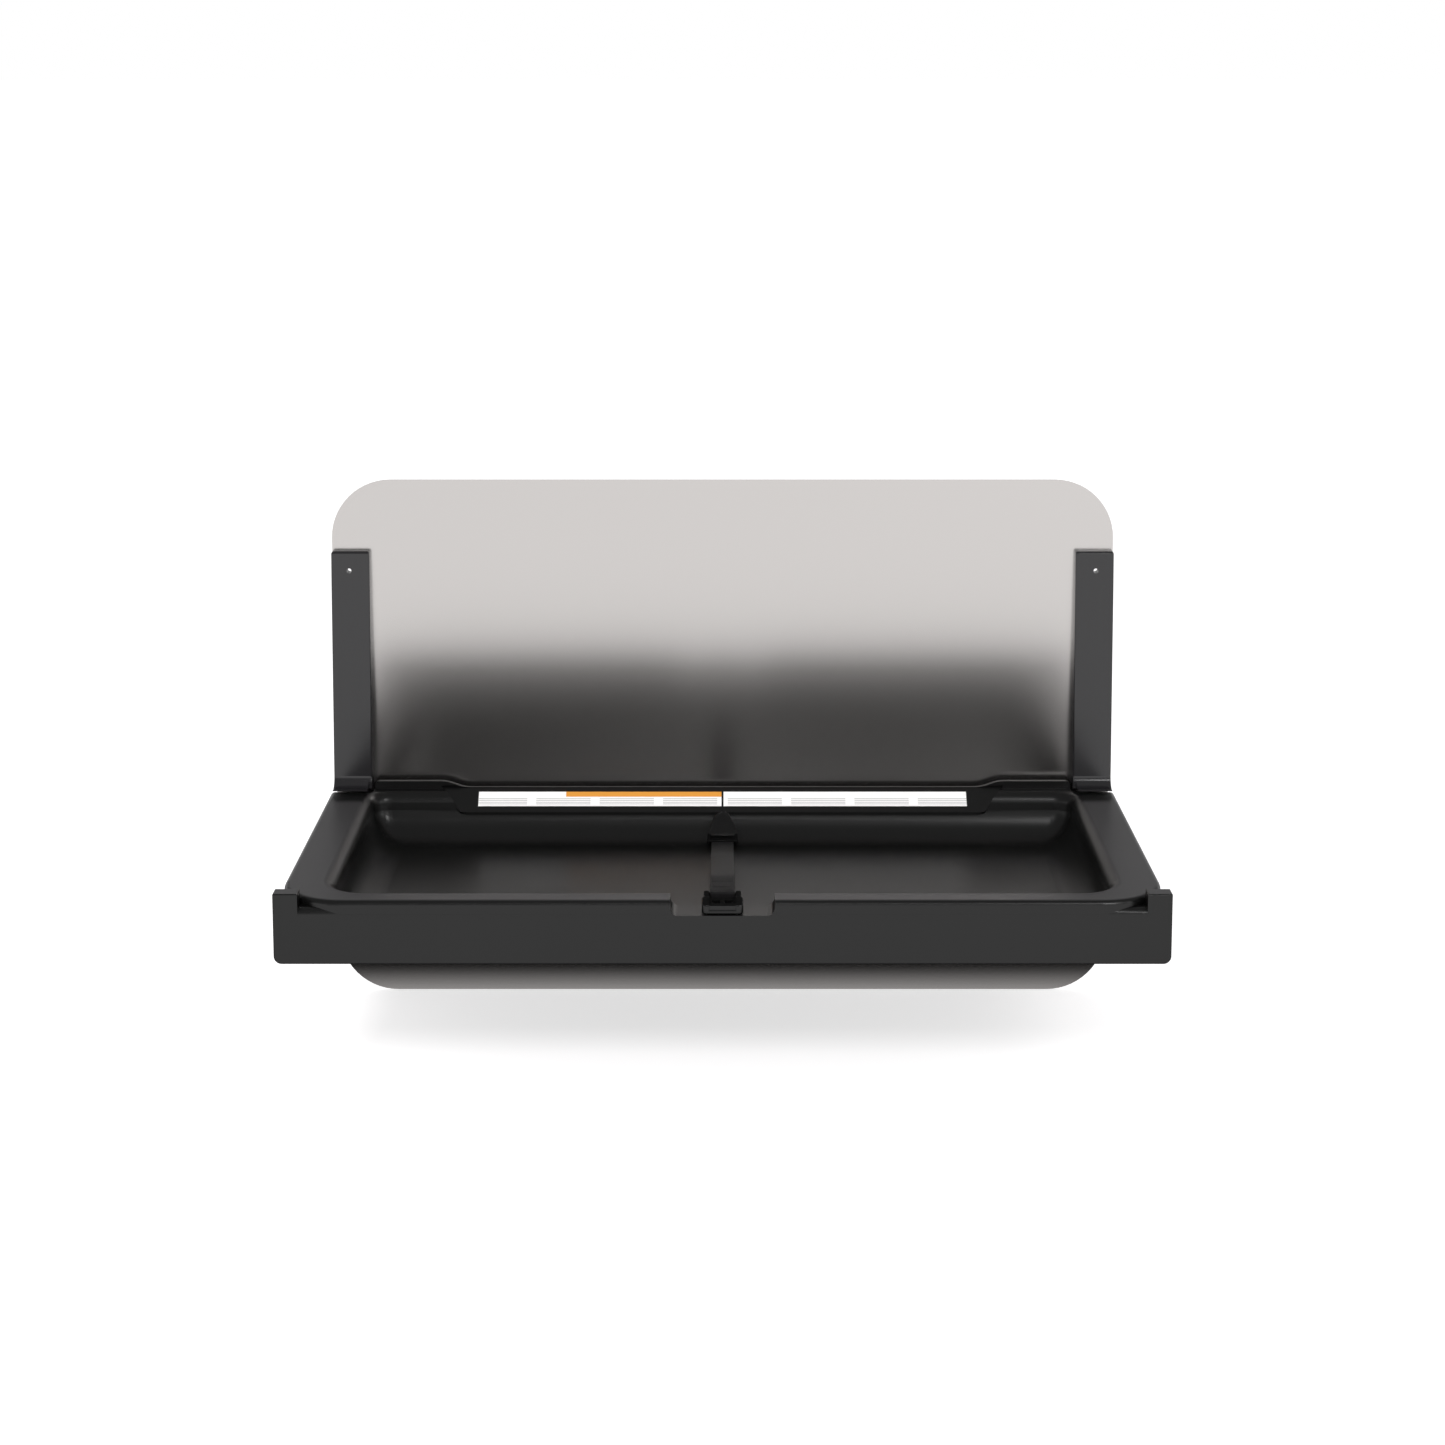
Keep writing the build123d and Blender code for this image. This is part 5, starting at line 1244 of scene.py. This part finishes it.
class STATION_OT_buckle(bpy.types.Operator):
    """Models the side-release buckle: its housing and its tongue with the two prongs"""

    bl_idname = "station.buckle"
    bl_label = "Buckle"

    def execute(self, context):
        finish = context.scene.station_finish
        material = polished_acetal("Black acetal", finish.buckle, roughness=0.22)
        dull = grained_acetal("Grained black acetal", finish.buckle)
        housing = self.housing(context.scene.station_buckle)
        settle(housing, "buckle_body", "bed", material)
        self.dull_top(housing, dull)
        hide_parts("buckle_housing")
        tongue = self.tongue()
        settle(tongue, "buckle_prongs", "tongue", material)
        self.dull_top(tongue, dull)
        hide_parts("buckle_tongue")
        return {"FINISHED"}

    def dull_top(self, piece, material):
        """Gives the faces that look up the second, grained finish of the mould."""
        piece.data.materials.append(material)
        for face in piece.data.polygons:
            if face.normal.z > 0.75:
                face.material_index = 1

    def slab(self, back, rise, across):
        """A box in the buckle's own plane, from its two ends along, up and across the buckle."""
        y, z = from_buckle(sum(back) / 2, sum(rise) / 2)
        size = (across[1] - across[0], abs(back[1] - back[0]), rise[1] - rise[0])
        return block((sum(across) / 2, y, z), size, buckle_tilt())

    def rounded_slab(self, back, rise, across, corner, edge):
        """A box in the buckle's own plane with its upright corners and then its other edges rounded."""
        piece = self.slab(back, rise, across)
        up = Vector((0, -math.sin(buckle_tilt()), math.cos(buckle_tilt())))
        pick(piece, lambda e: abs((e.verts[0].co - e.verts[1].co).normalized().dot(up)) > 0.9, "EDGE")
        bpy.ops.mesh.bevel(offset=corner, segments=8, affect="EDGES")
        bpy.ops.object.mode_set(mode="OBJECT")
        apply_modifier(piece, "BEVEL", width=edge, segments=4, limit_method="ANGLE", angle_limit=CREASE)
        return piece

    def housing(self, settings):
        """A rounded shell with a cavity for the prongs, side windows, and a slot and bar for its webbing."""
        half, rise = settings.width / 2, settings.height / 2
        inner = half - HOUSING_WALL
        top = rise + OVERRUN
        body = self.rounded_slab(
            (-HOUSING_LENGTH, 0), (-rise, rise), (-half, half), corner=HOUSING_CORNER, edge=settings.rounding
        )
        cavity = self.slab((-CAVITY_LENGTH, OVERRUN), (-CAVITY_RISE, CAVITY_RISE), (-inner, inner))
        windows = self.slab(WINDOW_BACK, (-WINDOW_RISE, WINDOW_RISE), (-half - OVERRUN, half + OVERRUN))
        slot = self.slab(SLOT_BACK, (-rise - 0.001, SLOT_TOP), (-SLOT_HALF, SLOT_HALF))
        recess = self.slab((-0.0250, OVERRUN), (rise - RECESS_DEPTH, top), (-RECESS_HALF, RECESS_HALF))
        opening = self.rounded_slab(
            (SLOT_BACK[1], 0.0060),
            (OPENING_FLOOR, top),
            (-OPENING_HALF, OPENING_HALF),
            corner=0.0015,
            edge=0.0003,
        )
        front_step = self.slab((-0.0250, -0.0232), (-0.0013, top), (-0.0140, 0.0140))
        for cutter in (cavity, windows, slot, recess, opening, front_step):
            cut_away(body, cutter)
        pad = self.slab((-0.0240, -0.0229), (OPENING_FLOOR, rise - RECESS_DEPTH), (-0.0133, 0.0133))
        apply_modifier(pad, "BEVEL", width=0.0005, segments=4)
        return join([body, pad, self.bar(SHORT_BAR, BAR_RADIUS, RECESS_HALF)])

    def bar(self, back, radius, reach):
        """A round bar across the buckle, level with its middle."""
        y, z = from_buckle(back, 0)
        clear_selection()
        bpy.ops.mesh.primitive_cylinder_add(
            vertices=24, radius=radius, depth=2 * reach, location=(0, y, z), rotation=(0, math.pi / 2, 0)
        )
        bar = bpy.context.object
        bpy.ops.object.transform_apply(location=True, rotation=True, scale=True)
        return bar

    def tongue(self):
        """A frame that the strap goes round, with two shoulders, two barbed prongs and a middle guide."""
        frame_part = self.rounded_slab(
            (0.0003, 0.016),
            (-FRAME_RISE, FRAME_RISE),
            (-FRAME_HALF, FRAME_HALF),
            corner=0.004,
            edge=0.001,
        )
        cut_away(frame_part, self.slab((0.0078, 0.0128), (-0.004, 0.004), (-SLOT_HALF, SLOT_HALF)))
        cut_away(frame_part, self.slab((-0.001, 0.0079), (0.0004, 0.004), (-OPENING_HALF, OPENING_HALF)))
        prong_rise = (-PRONG_RISE, PRONG_RISE)
        parts = [frame_part]
        for side in (-1, 1):
            across = sorted((side * 0.0134, side * 0.0190))
            shoulder = self.rounded_slab(
                (0.0005, 0.0162), (-0.0032, 0.0048), across, corner=0.0020, edge=0.0014
            )
            across = sorted((side * 0.0107, side * 0.0141))
            prong = self.rounded_slab((PRONG_TIP, PRONG_ROOT), prong_rise, across, corner=0.0012, edge=0.0005)
            across = sorted((side * 0.0090, side * 0.0175))
            barb = self.rounded_slab((PRONG_TIP, -0.0073), prong_rise, across, corner=0.0016, edge=0.0005)
            parts += [shoulder, prong, barb]
        guide = self.rounded_slab(
            (-0.0114, PRONG_ROOT), prong_rise, (-0.0025, 0.0025), corner=0.0012, edge=0.0005
        )
        return join(parts + [guide])


CLASSES = (
    StageSettings,
    FinishSettings,
    StrapSettings,
    BuckleSettings,
    STATION_OT_stage,
    STATION_OT_plate_and_arms,
    STATION_OT_bed,
    STATION_OT_hardware,
    STATION_OT_labels,
    STATION_OT_hood,
    STATION_OT_strap,
    STATION_OT_buckle,
)

# The operators in the order in which they run
MAKING = ("stage", "plate_and_arms", "bed", "hardware", "labels", "hood", "strap", "buckle")


class STATION_PT_panel(bpy.types.Panel):
    """Lists the station's settings and operators"""

    bl_idname = "STATION_PT_panel"
    bl_label = "Changing station"
    bl_space_type = "VIEW_3D"
    bl_region_type = "UI"
    bl_category = "Changing station"

    def draw(self, context):
        layout = self.layout
        scene = context.scene
        for group in (scene.station_stage, scene.station_finish, scene.station_strap, scene.station_buckle):
            box = layout.box()
            for name in group.__annotations__:
                box.prop(group, name)
        for name in MAKING:
            layout.operator("station." + name)


def register():
    for kind in CLASSES + (STATION_PT_panel,):
        bpy.utils.register_class(kind)
    bpy.types.Scene.station_stage = PointerProperty(type=StageSettings)
    bpy.types.Scene.station_finish = PointerProperty(type=FinishSettings)
    bpy.types.Scene.station_strap = PointerProperty(type=StrapSettings)
    bpy.types.Scene.station_buckle = PointerProperty(type=BuckleSettings)


def unregister():
    del bpy.types.Scene.station_buckle
    del bpy.types.Scene.station_strap
    del bpy.types.Scene.station_finish
    del bpy.types.Scene.station_stage
    for kind in reversed(CLASSES + (STATION_PT_panel,)):
        bpy.utils.unregister_class(kind)


def main():
    """Makes the dressed station."""
    register()
    for name in MAKING:
        getattr(bpy.ops.station, name)()


if __name__ == "__main__":
    main()
